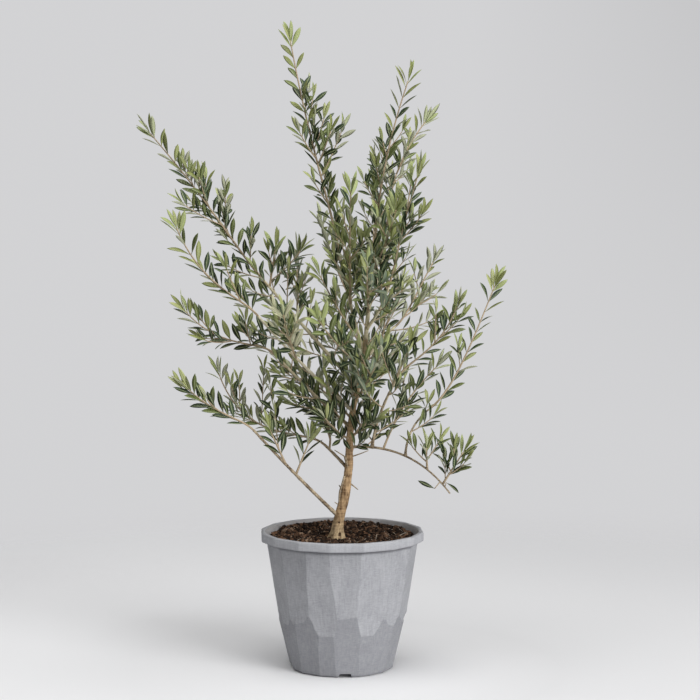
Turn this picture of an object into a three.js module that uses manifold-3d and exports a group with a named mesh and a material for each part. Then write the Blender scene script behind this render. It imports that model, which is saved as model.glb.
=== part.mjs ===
// A young olive tree in a round pot: a faceted grey pot, its soil, a slender leaning trunk, boughs,
// and one node for each leafy shoot. Millimetres, +Z up, the origin under the middle of the pot.
import * as THREE from 'three';
import { ConvexGeometry } from 'three/addons/geometries/ConvexGeometry.js';
import { mergeVertices } from 'three/addons/utils/BufferGeometryUtils.js';
import Module from 'manifold-3d';

const wasm = await Module();
wasm.setup();

// Driving dimensions.

const gap = 0.3; // between solids that meet

const potHeight = 252;
const rimRadius = 150; // to the corners of the faceted rim
const rimHeight = 16;
const rimLip = 9; // width of the flat top of the rim
const kneeHeight = 95; // the wall opens out faster below here than above
const kneeRadius = 118.2;
const lowerSlope = 0.233; // how much the wall widens for each millimetre up
const upperSlope = 0.152;
const footRadius = kneeRadius - lowerSlope * kneeHeight;
const wallThickness = 7.5; // measured at the ridges between the hollowed panels
const floorThickness = 10;
const footEdge = 5; // the rounded edge round the underside
const panels = 16; // hollowed panels round the pot, and flats round its rim
const rowOverlap = 14; // the lower row of panels hands over to the upper one this far about the knee

const channels = 4; // drainage channels in under the foot
const channelTurn = 3.5; // degrees that the front channel sits right of the middle
const channelTop = 19;
const channelBottom = 26;
const channelHeight = 6.5;
const channelLength = 50;

const soilLevel = 243;
const soilFlatRadius = 46; // level ground round the trunk
const soilLumps = 2;
const soilTilt = 4; // how far the soil's edge stands up at the back and drops at the front

const trunkKnots = [ // the middle of the trunk, from the soil to the fork
  [-10, -22, soilLevel - 4],
  [-6, -17, 274],
  [6, -11, 320],
  [12, -6, 370],
  [15, -3, 435],
  [24, 0, 495],
  [38, 3, 550],
  [43, 5, 602],
];
const trunkRadius = 10.4; // just above the root flare
const forkRadius = 4.6;
const flareReach = 6.5; // how far the roots stand out at the soil
const flareHeight = 26;
const rootLobes = 4;
const trunkSteps = 22;
const trunkSides = 9;
const boughSteps = 6;
const boughSides = 6;

const leafLength = 56;
const leafWidth = 16;
const leafThickness = 1.8;
const pairSpacing = 41; // from one pair of leaves to the next
const tipLeafSink = 2.5; // how far back from the end of its twig the last leaf is rooted
const firstSeed = 11;
const leafOpening = [54, 34]; // degrees off its stem, near the foot and near the tip
const leafOpeningSpread = 14;
const leafTurnSpread = 0.9; // radians round the stem
const leafSizes = [0.88, 1.08];
const twigLength = 70;
const twigOpening = [34, 52]; // degrees off the stem, least and most
const twigZone = [0.14, 0.8]; // the part of a stem that bears side twigs
const twigTurnSpread = 1.6; // radians round the stem
const twigSizes = [0.7, 1.2]; // of the twig's length, least and most
const twigTaper = [1.1, 0.6]; // of the same, at the foot and at the tip of the stem
const twigLift = 0.45; // how strongly a side twig turns upwards
const twigBare = 0.3; // the part of a twig below its first leaves
const stemBare = 20; // the same for a stem, as a length
const twigSteps = 2; // straight pieces in a side twig
const forkSag = 0.08; // how far the middle of a named fork hangs below its straight line
const stemStep = 60; // the longest straight piece in a stem
const twigRadius = 1.5;
const twigTipRadius = 0.9;
const runOn = 0.2; // how far a shoot keeps its bough's direction, as a fraction of its reach
const limbClearance = 1.6; // foliage stays this far off the trunk and boughs
const spaceMargin = 2; // foliage is nearer its own stem than any other by this much

// Each bough leaves its parent at a fraction of the parent's length. reach runs from there to the
// bough's tip, right, back and up, bend moves its middle off that straight line, and radius is
// given at its foot and its tip.
const boughs = {
  low_left: { on: 'trunk', at: 0.11, reach: [-153, -50, 165], bend: [-2, 1, -1], radius: [3.4, 2.1] },
  second_left: { on: 'trunk', at: 0.35, reach: [-44, 28, 42], bend: [0, 0, 1], radius: [3.0, 2.3] },
  low_right: { on: 'trunk', at: 0.46, reach: [181, -56, -77], bend: [11, -2, 26], radius: [3.6, 1.9] },
  mid_left: { on: 'trunk', at: 0.56, reach: [-137, -12, 134], bend: [0, 0, -5], radius: [3.1, 2.1] },
  front_left: { on: 'trunk', at: 0.64, reach: [-170, -54, 177], bend: [-4, 2, -3], radius: [3.1, 2.1] },
  upper_left: { on: 'trunk', at: 0.76, reach: [-183, 29, 206], bend: [-3, 0, 2], radius: [3.6, 2.3] },
  outer_right: { on: 'trunk', at: 0.88, reach: [60, 67, 64], bend: [-1, 0, 4], radius: [3.0, 2.1] },
  left_leader: { on: 'trunk', at: 0.92, reach: [-45, 21, 186], bend: [-3, 0, 0], radius: [3.5, 2.5] },
  right_leader: { on: 'trunk', at: 1, reach: [15, -20, 163], bend: [0, 0, 0], radius: [4.2, 2.6] },
  front_right: { on: 'right_leader', at: 0.12, reach: [39, -55, 78], bend: [3, 0, -4], radius: [2.8, 2.1] },
  back_right: { on: 'right_leader', at: 0.34, reach: [27, 44, 87], bend: [0, 6, -4], radius: [2.6, 2.1] },
  right_riser: { on: 'low_right', at: 0.2, reach: [48, -84, 140], bend: [-8, -2, 1], radius: [2.7, 2.0] },
  right_climber: { on: 'low_right', at: 0.5, reach: [46, 34, 83], bend: [-10, 2, 5], radius: [2.6, 2.0] },
};

// Each mass of foliage is one leafy shoot with its side twigs. It is placed as a bough is: on a
// bough's tip, where at is 1, or on the side of a bough or the trunk. forks are the side twigs that
// have a place of their own, each a fraction along the shoot and a reach from there.
const masses = {
  low_left: { on: 'low_left', at: 1, reach: [-113, -38, 77], bend: [-4, 0, -5], twigs: 3 },
  low_left_inner: { on: 'low_left', at: 0.62, reach: [-28, -16, 65], bend: [0, 0, 0], twigs: 1 },
  low_left_riser: { on: 'low_left', at: 0.5, reach: [25, 12, 62], bend: [0, 0, 0], twigs: 0 },
  second_left: {
    on: 'second_left', at: 1, reach: [-199, 96, 121], bend: [-24, 2, -36], twigs: 3,
    forks: [[0.36, [-14, -36, 88]], [0.5, [5, 0, 100]], [0.7, [-14, -24, 44]]],
  },
  second_inner: { on: 'second_left', at: 0.8, reach: [-51, 22, 98], bend: [18, 3, 9], twigs: 2 },
  upper_left: {
    on: 'upper_left', at: 1, reach: [-199, 40, 256], bend: [4, 0, 3], twigs: 3,
    forks: [[0.07, [4, -34, 52]], [0.31, [-2, 52, 65]], [0.48, [-4, 11, 42]], [0.34, [-68, -24, 38]]],
  },
  upper_left_top: { on: 'upper_left', at: 0.88, reach: [10, 8, 71], bend: [0, 0, 0], twigs: 1 },
  upper_left_back: { on: 'upper_left', at: 0.6, reach: [-3, 98, 118], bend: [0, 8, -8], twigs: 2 },
  front_left: {
    on: 'front_left', at: 1, reach: [-138, -70, 157], bend: [-14, -2, -13], twigs: 1,
    forks: [[0.18, [-24, -18, 58]]],
  },
  front_left_inner: { on: 'front_left', at: 0.58, reach: [-18, -140, 86], bend: [0, 0, -8], twigs: 3 },
  mid_left: {
    on: 'mid_left', at: 1, reach: [-161, -15, 79], bend: [-9, 0, -17], twigs: 3,
    forks: [[0.26, [-8, -24, 42]]],
  },
  left_leader: {
    on: 'left_leader', at: 1, reach: [-90, 26, 386], bend: [-5, 0, 0], twigs: 3,
    forks: [[0.36, [38, 42, 86]], [0.42, [24, -30, 58]], [0.49, [18, 12, 55]]],
  },
  left_leader_front: { on: 'left_leader', at: 0.12, reach: [-73, -84, 127], bend: [0, 0, -6], twigs: 2 },
  centre_front: { on: 'left_leader', at: 0.5, reach: [0, -130, 205], bend: [-1, -10, -6], twigs: 3 },
  right_leader: {
    on: 'right_leader', at: 1, reach: [60, -28, 301], bend: [-10, 0, 2], twigs: 1,
    forks: [[0.26, [-26, -40, 42]]],
  },
  back_right: { on: 'back_right', at: 1, reach: [80, 84, 255], bend: [-24, 0, 8], twigs: 3 },
  front_right: {
    on: 'front_right', at: 1, reach: [51, -70, 204], bend: [-2, 0, 2], twigs: 1,
    forks: [[0.41, [36, -26, 44]], [0.56, [12, 11, 74]]],
  },
  outer_right: {
    on: 'outer_right', at: 1, reach: [74, 98, 117], bend: [1, 0, 0], twigs: 2,
    forks: [[0.15, [41, 34, 35]]],
  },
  outer_right_inner: { on: 'outer_right', at: 0.5, reach: [42, 80, 108], bend: [0, 6, -6], twigs: 2 },
  low_right_tip: {
    on: 'low_right', at: 0.9, reach: [36, -16, 60], bend: [0, 0, 0], twigs: 0,
    forks: [[0.3, [26, -18, 22]], [0.4, [-14, 22, 36]]],
  },
  low_right_inner: {
    on: 'low_right', at: 0.72, reach: [-3, -26, 43], bend: [0, 0, 0], twigs: 0,
    forks: [[0.35, [-26, 16, 26]], [0.45, [22, 8, 32]]],
  },
  right_riser: {
    on: 'right_riser', at: 1, reach: [98, -46, 122], bend: [11, 2, -8], twigs: 1,
    forks: [[0.6, [34, -14, 34]]],
  },
  right_riser_inner: { on: 'right_riser', at: 0.85, reach: [31, -34, 78], bend: [0, 0, 0], twigs: 1 },
  right_climber: { on: 'right_climber', at: 1, reach: [119, 30, 223], bend: [6, 0, -3], twigs: 0 },
  right_back: {
    on: 'low_right', at: 0.3, reach: [103, 112, 142], bend: [-9, 0, 6], twigs: 2,
    forks: [[0.24, [22, 56, 80]]],
  },
  trunk_left: { on: 'trunk', at: 0.5, reach: [-44, -66, 46], bend: [0, 0, -5], twigs: 1 },
  trunk_right: { on: 'trunk', at: 0.52, reach: [46, -70, 34], bend: [0, 0, -4], twigs: 1 },
  front_low: { on: 'trunk', at: 0.7, reach: [44, -188, 98], bend: [0, 0, -8], twigs: 3 },
  front_high: { on: 'right_leader', at: 0.3, reach: [-4, -182, 92], bend: [0, 0, -10], twigs: 2 },
  front_mid: { on: 'trunk', at: 0.86, reach: [-78, -184, 98], bend: [0, 0, -8], twigs: 2 },
  front_top: { on: 'right_leader', at: 0.76, reach: [40, -146, 112], bend: [0, 0, -10], twigs: 3 },
  back_mid: { on: 'trunk', at: 0.82, reach: [-60, 206, 116], bend: [0, 0, -10], twigs: 4 },
  back_left: { on: 'trunk', at: 0.6, reach: [-112, 182, 74], bend: [0, 0, 8], twigs: 4 },
  back_low: { on: 'trunk', at: 0.69, reach: [84, 210, 84], bend: [0, 0, -4], twigs: 4 },
  back_top_left: { on: 'left_leader', at: 0.62, reach: [-50, 178, 126], bend: [0, 0, -10], twigs: 2 },
  back_top_right: { on: 'right_leader', at: 0.55, reach: [10, 196, 138], bend: [0, 0, -10], twigs: 3 },
};

const finishes = {
  pot: new THREE.MeshStandardMaterial({ color: 0xa5a6ab, roughness: 0.75, metalness: 0 }),
  soil: new THREE.MeshStandardMaterial({ color: 0x3f2d22, roughness: 1, metalness: 0 }),
  bark: new THREE.MeshStandardMaterial({ color: 0xa08a68, roughness: 0.9, metalness: 0 }),
  shoot: new THREE.MeshStandardMaterial({ color: 0x8f8a62, roughness: 0.85, metalness: 0 }),
  leaf: new THREE.MeshStandardMaterial({ color: 0x5f7351, roughness: 0.55, metalness: 0 }),
};

// Small tools.

const up = new THREE.Vector3(0, 0, 1);
const radians = THREE.MathUtils.degToRad;
const mix = THREE.MathUtils.lerp;

// A seeded generator, so that every build grows the same tree.
function makeRandom(seed) {
  let state = seed * 7919;
  return () => {
    state = (state * 16807) % 2147483647;
    return state / 2147483647;
  };
}

function solidFrom(geometry) {
  geometry.deleteAttribute('normal');
  geometry.deleteAttribute('uv');
  const merged = mergeVertices(geometry, 1e-4);
  return new wasm.Manifold(new wasm.Mesh({
    numProp: 3,
    vertProperties: new Float32Array(merged.attributes.position.array),
    triVerts: new Uint32Array(merged.index.array),
  }));
}

function geometryFrom(solid) {
  const mesh = solid.getMesh();
  const geometry = new THREE.BufferGeometry();
  geometry.setAttribute('position', new THREE.BufferAttribute(mesh.vertProperties, 3));
  geometry.setIndex(new THREE.BufferAttribute(mesh.triVerts, 1));
  geometry.computeVertexNormals();
  return geometry;
}

// The main body of a solid, with no loose scrap and no sealed hollow.
function mainBody(solid) {
  return solid.decompose().reduce((best, part) => (part.volume() > best.volume() ? part : best));
}

// A closed tube along a curve. radiusAt gives its radius for a fraction of the length and an angle.
function tube(curve, steps, sides, radiusAt) {
  const corners = [];
  for (let i = 0; i < sides; i += 1) {
    const angle = (i / sides) * Math.PI * 2;
    corners.push(new THREE.Vector2(Math.cos(angle), Math.sin(angle)));
  }
  const geometry = new THREE.ExtrudeGeometry(new THREE.Shape(corners), { steps, extrudePath: curve });
  const centres = curve.getSpacedPoints(steps);
  const position = geometry.attributes.position;
  const point = new THREE.Vector3();
  for (let i = 0; i < position.count; i += 1) {
    point.fromBufferAttribute(position, i);
    const distances = centres.map((centre) => centre.distanceToSquared(point));
    const nearest = distances.indexOf(Math.min(...distances));
    point.sub(centres[nearest]);
    point.multiplyScalar(radiusAt(nearest / steps, Math.atan2(point.y, point.x)));
    point.add(centres[nearest]);
    position.setXYZ(i, point.x, point.y, point.z);
  }
  return solidFrom(geometry);
}

// The straight pieces of a limb's middle line, for measuring distances to it.
function spine(curve, steps, radiusAt) {
  return curve.getSpacedPoints(steps).map((point, i) => ({ point, radius: radiusAt(i / steps) }));
}

function distanceTo(line, point, withRadius) {
  const along = new THREE.Vector3();
  const nearest = new THREE.Vector3();
  let best = Infinity;
  for (let i = 1; i < line.length; i += 1) {
    along.subVectors(line[i].point, line[i - 1].point);
    nearest.subVectors(point, line[i - 1].point);
    const part = THREE.MathUtils.clamp(nearest.dot(along) / along.lengthSq(), 0, 1);
    nearest.copy(line[i - 1].point).addScaledVector(along, part);
    const radius = withRadius ? mix(line[i - 1].radius, line[i].radius, part) : 0;
    best = Math.min(best, nearest.distanceTo(point) - radius);
  }
  return best;
}

// Pot and soil.

function wallRadius(height) {
  const slope = height < kneeHeight ? lowerSlope : upperSlope;
  return kneeRadius + slope * (height - kneeHeight);
}

function innerRadius(height) {
  return wallRadius(height) - wallThickness;
}

// Hollows the panels: ridges stand at every other column, and the lower row is set half a panel on.
function panelFactor(column, height) {
  const hollow = Math.cos(Math.PI / panels);
  const inRim = height > potHeight - rimHeight - 1;
  const lowerRow = height < kneeHeight;
  const onRidge = (column + (lowerRow && !inRim ? 1 : 0)) % 2 === 0;
  return onRidge ? 1 : hollow;
}

function makePot() {
  const rimFoot = potHeight - rimHeight;
  const outside = [
    [0, 0],
    [footRadius - footEdge, 0],
    [wallRadius(footEdge), footEdge],
    [wallRadius(kneeHeight - rowOverlap), kneeHeight - rowOverlap],
    [wallRadius(kneeHeight + rowOverlap), kneeHeight + rowOverlap],
    [wallRadius(rimFoot), rimFoot],
    [rimRadius - 1, rimFoot],
    [rimRadius, rimFoot + 2],
    [rimRadius, potHeight - 2],
    [rimRadius - 1.5, potHeight],
  ];
  const inside = [
    [rimRadius - rimLip, potHeight],
    [innerRadius(rimFoot + 2), rimFoot + 2],
    [innerRadius(kneeHeight), kneeHeight],
    [innerRadius(floorThickness), floorThickness],
    [0, floorThickness],
  ];
  const profile = [...outside, ...inside].map(([r, z]) => new THREE.Vector2(r, z));
  const columns = panels * 2;
  const geometry = new THREE.LatheGeometry(profile, columns);
  geometry.rotateX(Math.PI / 2);
  const position = geometry.attributes.position;
  for (let i = 0; i < position.count; i += 1) {
    const row = i % profile.length;
    if (row > 0 && row < outside.length) {
      const column = Math.floor(i / profile.length) % columns;
      const factor = panelFactor(column, profile[row].y);
      position.setXYZ(i, position.getX(i) * factor, position.getY(i) * factor, position.getZ(i));
    }
  }
  let pot = solidFrom(geometry);
  for (let i = 0; i < channels; i += 1) {
    pot = pot.subtract(makeChannel(radians((360 / channels) * i + channelTurn)));
  }
  return pot;
}

// A drainage channel: a trapezium run in from the edge of the foot, the first one at the front.
function makeChannel(turn) {
  const shape = new THREE.Shape([
    new THREE.Vector2(-channelBottom / 2, -1),
    new THREE.Vector2(channelBottom / 2, -1),
    new THREE.Vector2(channelTop / 2, channelHeight),
    new THREE.Vector2(-channelTop / 2, channelHeight),
  ]);
  const geometry = new THREE.ExtrudeGeometry(shape, { depth: channelLength, bevelEnabled: false });
  geometry.translate(0, 0, footRadius + 12 - channelLength);
  geometry.rotateX(Math.PI / 2);
  geometry.rotateZ(turn);
  return solidFrom(geometry);
}

function makeSoil() {
  const bottom = floorThickness + gap;
  const radiusAt = (height) => innerRadius(height) - gap;
  const profile = [
    [0, bottom],
    [radiusAt(bottom), bottom],
    [radiusAt(kneeHeight), kneeHeight],
    [radiusAt(soilLevel - 5), soilLevel - 5],
    [radiusAt(soilLevel) - 3, soilLevel],
    [104, soilLevel],
    [76, soilLevel],
    [soilFlatRadius, soilLevel],
    [0, soilLevel],
  ].map(([r, z]) => new THREE.Vector2(r, z));
  const columns = panels * 2;
  const geometry = new THREE.LatheGeometry(profile, columns);
  geometry.rotateX(Math.PI / 2);
  const random = makeRandom(5);
  const lumps = Array.from({ length: columns * profile.length }, () => random() * 2 - 1);
  const position = geometry.attributes.position;
  for (let i = 0; i < position.count; i += 1) {
    const row = i % profile.length;
    const column = Math.floor(i / profile.length) % columns;
    if (row >= 4 && row <= 6) {
      const lump = lumps[column * profile.length + row] * soilLumps;
      const tilt = (position.getY(i) / radiusAt(soilLevel)) * soilTilt;
      position.setZ(i, position.getZ(i) + lump + tilt);
    }
  }
  return solidFrom(geometry);
}

// Trunk and boughs.

const trunkCurve = new THREE.CatmullRomCurve3(trunkKnots.map((knot) => new THREE.Vector3(...knot)));
const trunkLength = trunkCurve.getLength();

// Tapers to the fork, with a swelling below the first third and roots standing out at the soil.
function trunkRadiusAt(part, angle = 0) {
  const height = part * trunkLength;
  const taper = mix(trunkRadius, forkRadius, Math.min(1, part * 1.25) ** 0.8);
  const flare = flareReach * Math.exp(-height / (flareHeight / 2.2));
  const lobes = 1 + 0.45 * Math.cos(rootLobes * angle + 0.6);
  return Math.max(taper, forkRadius) + flare * lobes;
}

function makeTrunk() {
  const whole = tube(trunkCurve, trunkSteps, trunkSides, trunkRadiusAt);
  const cut = new THREE.BoxGeometry(200, 200, 40);
  cut.translate(0, 0, soilLevel + gap - 20);
  return mainBody(whole.subtract(solidFrom(cut)));
}

const limbs = {
  trunk: { curve: trunkCurve, radiusAt: trunkRadiusAt, steps: trunkSteps, sides: trunkSides },
};

// The curve of a bough or shoot. On a parent's tip it starts a gap beyond the end face and runs on
// in the parent's direction. On a parent's side it starts on the parent's middle line, and is cut
// back to the surface afterwards.
function curveFor({ on, at, reach, bend }) {
  const parent = limbs[on];
  const start = parent.curve.getPointAt(at);
  const heading = parent.curve.getTangentAt(at);
  if (at === 1) {
    start.addScaledVector(heading, gap);
  }
  const span = new THREE.Vector3(...reach);
  const end = start.clone().add(span);
  const middle = start.clone().lerp(end, 0.5).addScaledVector(new THREE.Vector3(...bend), 2);
  if (at < 1) {
    return new THREE.QuadraticBezierCurve3(start, middle, end);
  }
  const onward = start.clone().addScaledVector(heading, span.length() * runOn);
  return new THREE.CubicBezierCurve3(start, onward, middle, end);
}

for (const [name, bough] of Object.entries(boughs)) {
  const [foot, tip] = bough.radius;
  const curve = curveFor(bough);
  limbs[name] = { curve, radiusAt: (part) => mix(foot, tip, part), steps: boughSteps, sides: boughSides };
}

// The same limb standing a gap proud of itself, to cut what meets its side.
function grownLimb({ curve, radiusAt, steps, sides }) {
  return tube(curve, steps, sides, (part, angle) => radiusAt(part, angle) + gap);
}

const limbSpines = Object.fromEntries(Object.entries(limbs).map(([name, limb]) => (
  [name, spine(limb.curve, limb.steps, limb.radiusAt)]
)));

// Foliage.

// A fork leaves the shoot at its own place, and hangs a little before it turns up.
function forkCurve(mass, [at, reach]) {
  const start = mass.curve.getPointAt(at);
  const span = new THREE.Vector3(...reach);
  const middle = start.clone().addScaledVector(span, 0.5).addScaledVector(up, -forkSag * span.length());
  return new THREE.QuadraticBezierCurve3(start, middle, start.clone().add(span));
}

for (const [index, mass] of Object.values(masses).entries()) {
  mass.seed = firstSeed + index;
  mass.curve = curveFor(mass);
  mass.length = mass.curve.getLength();
  mass.forkCurves = (mass.forks || []).map((fork) => forkCurve(mass, fork));
  mass.spines = [spine(mass.curve, 12, () => 0), ...mass.forkCurves.map((curve) => spine(curve, 6, () => 0))];
}

function stemDistance(mass, point) {
  return Math.min(...mass.spines.map((line) => distanceTo(line, point, false)));
}

// True where a point is the mass's own: clear of every limb and nearest to the mass's own stems.
function isFree(point, mass) {
  const own = stemDistance(mass, point);
  const offLimbs = Object.values(limbSpines).every((line) => distanceTo(line, point, true) > limbClearance);
  const inSpace = Object.values(masses).every((other) => (
    other === mass || stemDistance(other, point) > own + spaceMargin
  ));
  return offLimbs && inSpace;
}

// The two directions at right angles to a twig, the first of them level.
function acrossTwig(along) {
  const level = new THREE.Vector3().crossVectors(along, up);
  if (level.length() < 0.05) {
    level.set(1, 0, 0);
  }
  level.normalize();
  return [level, new THREE.Vector3().crossVectors(level, along).normalize()];
}

function sideways(along, turn) {
  const [level, raised] = acrossTwig(along);
  return level.multiplyScalar(Math.cos(turn)).addScaledVector(raised, Math.sin(turn));
}

// A leaf flat below and ridged above, rooted on the middle line of its twig and pointed at both
// ends, or null where it would leave the mass's space.
function makeLeaf(root, along, side, open, scale, mass) {
  const length = leafLength * scale;
  const direction = along.clone().multiplyScalar(Math.cos(open)).addScaledVector(side, Math.sin(open));
  const face = along.clone().multiplyScalar(Math.sin(open)).addScaledVector(side, -Math.cos(open));
  const width = new THREE.Vector3().crossVectors(face, direction);
  const at = (part, across) => root.clone()
    .addScaledVector(direction, part * length)
    .addScaledVector(width, (across * leafWidth * scale) / 2);
  const outline = [at(0.15, 0), at(0.3, 0.6), at(0.3, -0.6), at(0.5, 1), at(0.5, -1), at(0.75, 0), at(1, 0)];
  if (!outline.every((point) => isFree(point, mass))) {
    return null;
  }
  const ridge = at(0.45, 0).addScaledVector(face, leafThickness);
  return solidFrom(new ConvexGeometry([at(0, 0), at(0.48, 1), at(0.48, -1), ridge, at(1, 0)]));
}

// Pairs of leaves along a twig, each pair turned a quarter from the last, and one leaf at its tip.
// Their roots lie on the middle line of the twig's straight pieces.
function makeLeaves(curve, steps, bare, random, mass) {
  const length = curve.getLength();
  const joints = curve.getSpacedPoints(steps);
  const pairs = Math.max(1, Math.round((length * (1 - bare)) / pairSpacing));
  const leaves = [];
  for (let i = 0; i < pairs; i += 1) {
    const part = mix(bare, 1, (i + 0.4) / pairs);
    const piece = Math.floor(part * steps);
    const root = joints[piece].clone().lerp(joints[piece + 1], part * steps - piece);
    const along = curve.getTangentAt(part);
    const turn = (i % 2) * (Math.PI / 2) + (random() - 0.5) * leafTurnSpread;
    const open = radians(mix(...leafOpening, part) + (random() - 0.5) * leafOpeningSpread);
    const scale = mix(...leafSizes, random()) * (part > 0.85 ? 0.85 : 1);
    for (const turned of [turn, turn + Math.PI]) {
      leaves.push(makeLeaf(root, along, sideways(along, turned), open, scale, mass));
    }
  }
  const tipTurn = random() * Math.PI * 2;
  const tipAlong = curve.getTangentAt(1);
  const tipRoot = curve.getPointAt(1).addScaledVector(tipAlong, -tipLeafSink);
  leaves.push(makeLeaf(tipRoot, tipAlong, sideways(tipAlong, tipTurn), radians(8), 0.8, mass));
  return leaves.filter((leaf) => leaf !== null);
}

// Side twigs leave the stem alternately to either side and turn upwards.
function twigCurves(mass) {
  const random = makeRandom(mass.seed);
  const curves = [];
  for (let i = 0; i < mass.twigs; i += 1) {
    const part = mix(...twigZone, (i + random() * 0.6) / mass.twigs);
    const turn = (i % 2) * Math.PI + (random() - 0.3) * twigTurnSpread;
    const open = radians(mix(...twigOpening, random()));
    const length = twigLength * mix(...twigSizes, random()) * mix(...twigTaper, part);
    const start = mass.curve.getPointAt(part);
    const along = mass.curve.getTangentAt(part);
    const aim = along.clone().multiplyScalar(Math.cos(open));
    aim.addScaledVector(sideways(along, turn), Math.sin(open));
    const middle = start.clone().addScaledVector(aim, length / 2);
    aim.addScaledVector(up, twigLift).normalize();
    const end = middle.clone().addScaledVector(aim, length / 2);
    curves.push(new THREE.QuadraticBezierCurve3(start, middle, end));
  }
  return curves;
}

function makeMass(mass) {
  const parent = limbs[mass.on];
  const footRadiusHere = mass.at === 1 ? parent.radiusAt(1) : twigRadius * 1.3;
  const steps = Math.ceil(mass.length / stemStep);
  let stem = tube(mass.curve, steps, 3, (part) => mix(footRadiusHere, twigTipRadius, part));
  if (mass.at < 1) {
    stem = mainBody(stem.subtract(grownLimb(parent)));
  }
  const random = makeRandom(mass.seed + 100);
  const solids = [stem, ...makeLeaves(mass.curve, steps, stemBare / mass.length, random, mass)];
  for (const curve of [...mass.forkCurves, ...twigCurves(mass)]) {
    const points = curve.getSpacedPoints(6).slice(1);
    if (points.every((point) => isFree(point, mass))) {
      solids.push(tube(curve, twigSteps, 3, (part) => mix(twigRadius, twigTipRadius, part)));
      solids.push(...makeLeaves(curve, twigSteps, twigBare, random, mass));
    }
  }
  return mainBody(wasm.Manifold.union(solids));
}

// The whole plant.

const group = new THREE.Group();

function place(name, solid, finish) {
  const mesh = new THREE.Mesh(geometryFrom(solid), finish);
  mesh.name = name;
  group.add(mesh);
}

place('pot', makePot(), finishes.pot);
place('soil', makeSoil(), finishes.soil);
place('trunk', makeTrunk(), finishes.bark);

for (const [name, bough] of Object.entries(boughs)) {
  const limb = limbs[name];
  let solid = tube(limb.curve, limb.steps, limb.sides, limb.radiusAt);
  if (bough.at < 1) {
    solid = mainBody(solid.subtract(grownLimb(limbs[bough.on])));
  }
  place(`bough_${name}`, solid, finishes.bark);
}

for (const [name, mass] of Object.entries(masses)) {
  place(`foliage_${name}`, makeMass(mass), finishes.leaf);
}

export default group;
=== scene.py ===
import math

import bmesh
import bpy
import numpy as np
from mathutils import Matrix, Vector, noise


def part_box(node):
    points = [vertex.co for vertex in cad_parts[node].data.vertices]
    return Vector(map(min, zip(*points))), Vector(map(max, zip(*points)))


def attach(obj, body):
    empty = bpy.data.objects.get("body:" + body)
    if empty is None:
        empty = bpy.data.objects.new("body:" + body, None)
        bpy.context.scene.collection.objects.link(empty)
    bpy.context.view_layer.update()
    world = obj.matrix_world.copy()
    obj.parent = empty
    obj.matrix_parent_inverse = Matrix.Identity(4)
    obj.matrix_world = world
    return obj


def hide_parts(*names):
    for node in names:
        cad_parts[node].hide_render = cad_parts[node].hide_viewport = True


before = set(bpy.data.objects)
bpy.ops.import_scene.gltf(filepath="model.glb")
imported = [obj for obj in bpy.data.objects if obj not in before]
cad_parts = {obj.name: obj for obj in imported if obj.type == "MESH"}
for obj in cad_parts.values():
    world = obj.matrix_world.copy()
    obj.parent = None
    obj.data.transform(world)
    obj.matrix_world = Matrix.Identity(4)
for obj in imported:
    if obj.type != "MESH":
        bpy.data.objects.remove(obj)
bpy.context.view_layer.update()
print("frame loaded:", len(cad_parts), "nodes")

mm = 0.001
potBox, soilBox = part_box("pot"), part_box("soil")


class Wire:  # one node output, so that node maths reads as an expression
    def __init__(self, maker, socket):
        self.maker, self.socket = maker, socket

    def maths(self, operation, other, swap=False):
        pair = (other, self) if swap else (self, other)
        return self.maker.add("Math", {0: pair[0], 1: pair[1]}, operation=operation)

    def __add__(self, other): return self.maths("ADD", other)
    def __sub__(self, other): return self.maths("SUBTRACT", other)
    def __rsub__(self, other): return self.maths("SUBTRACT", other, True)
    def __mul__(self, other): return self.maths("MULTIPLY", other)


class NodeMaker:  # adds nodes of any kind to one tree
    def __init__(self, tree):
        self.tree = tree

    def add(self, kind, values=None, output=0, **settings):
        node = self.tree.nodes.new("ShaderNode" + kind)
        for key, value in settings.items():
            setattr(node, key, value)
        for key, value in (values or {}).items():
            if isinstance(value, Wire):
                self.tree.links.new(value.socket, node.inputs[key])
            else:
                node.inputs[key].default_value = value
        return Wire(self, node.outputs[output])

    def place(self, output=3):  # 3 is the place in the piece, 1 its normal and 0 its place in its box
        return self.add("TexCoord", output=output)

    def axis(self, wire, number):
        return self.add("SeparateXYZ", {0: wire}, number)

    def lengthOf(self, wire):
        return self.add("VectorMath", {0: wire}, 1, operation="LENGTH")

    def mixColours(self, amount, first, second):
        first, second = (value if isinstance(value, Wire) else (*value, 1.0) for value in (first, second))
        return self.add("Mix", {0: amount, 6: first, 7: second}, 2, data_type="RGBA")

    def clouds(self, scale, detail, stretch=(1, 1, 1), roughness=0.55):  # soft noise, about 0 to 1
        place = self.add("Mapping", {"Vector": self.place(), "Scale": stretch})
        return self.add("TexNoise", {"Vector": place, "Scale": scale, "Detail": detail, "Roughness": roughness})

    def blend(self, layers, shares):  # layers and their shares, both by name
        wires = [layers[name] * share for name, share in shares.items()]
        total = wires[0]
        for wire in wires[1:]:
            total = total + wire
        return total

    def between(self, wire, low, high, **settings):  # spreads low to high over 0 to 1
        return self.add("MapRange", {"Value": wire, "From Min": low, "From Max": high}, **settings)

    def tone(self, look):  # a look's clouds by name, and their blend from dark to pale
        layers = {name: self.clouds(*cloud) for name, cloud in look["clouds"].items()}
        return layers, self.between(self.blend(layers, look["tone"]), *look["spread"])


def makeFinish(name, colour, roughness, specular):
    material = bpy.data.materials.new(name)
    material.use_nodes = True
    shader = material.node_tree.nodes["Principled BSDF"]
    shader.inputs["Base Color"].default_value = (*colour, 1.0)
    shader.inputs["Roughness"].default_value = roughness
    shader.inputs["Specular IOR Level"].default_value = specular
    material.diffuse_color = (*colour, 1.0)
    return material, shader, NodeMaker(material.node_tree)


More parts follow.
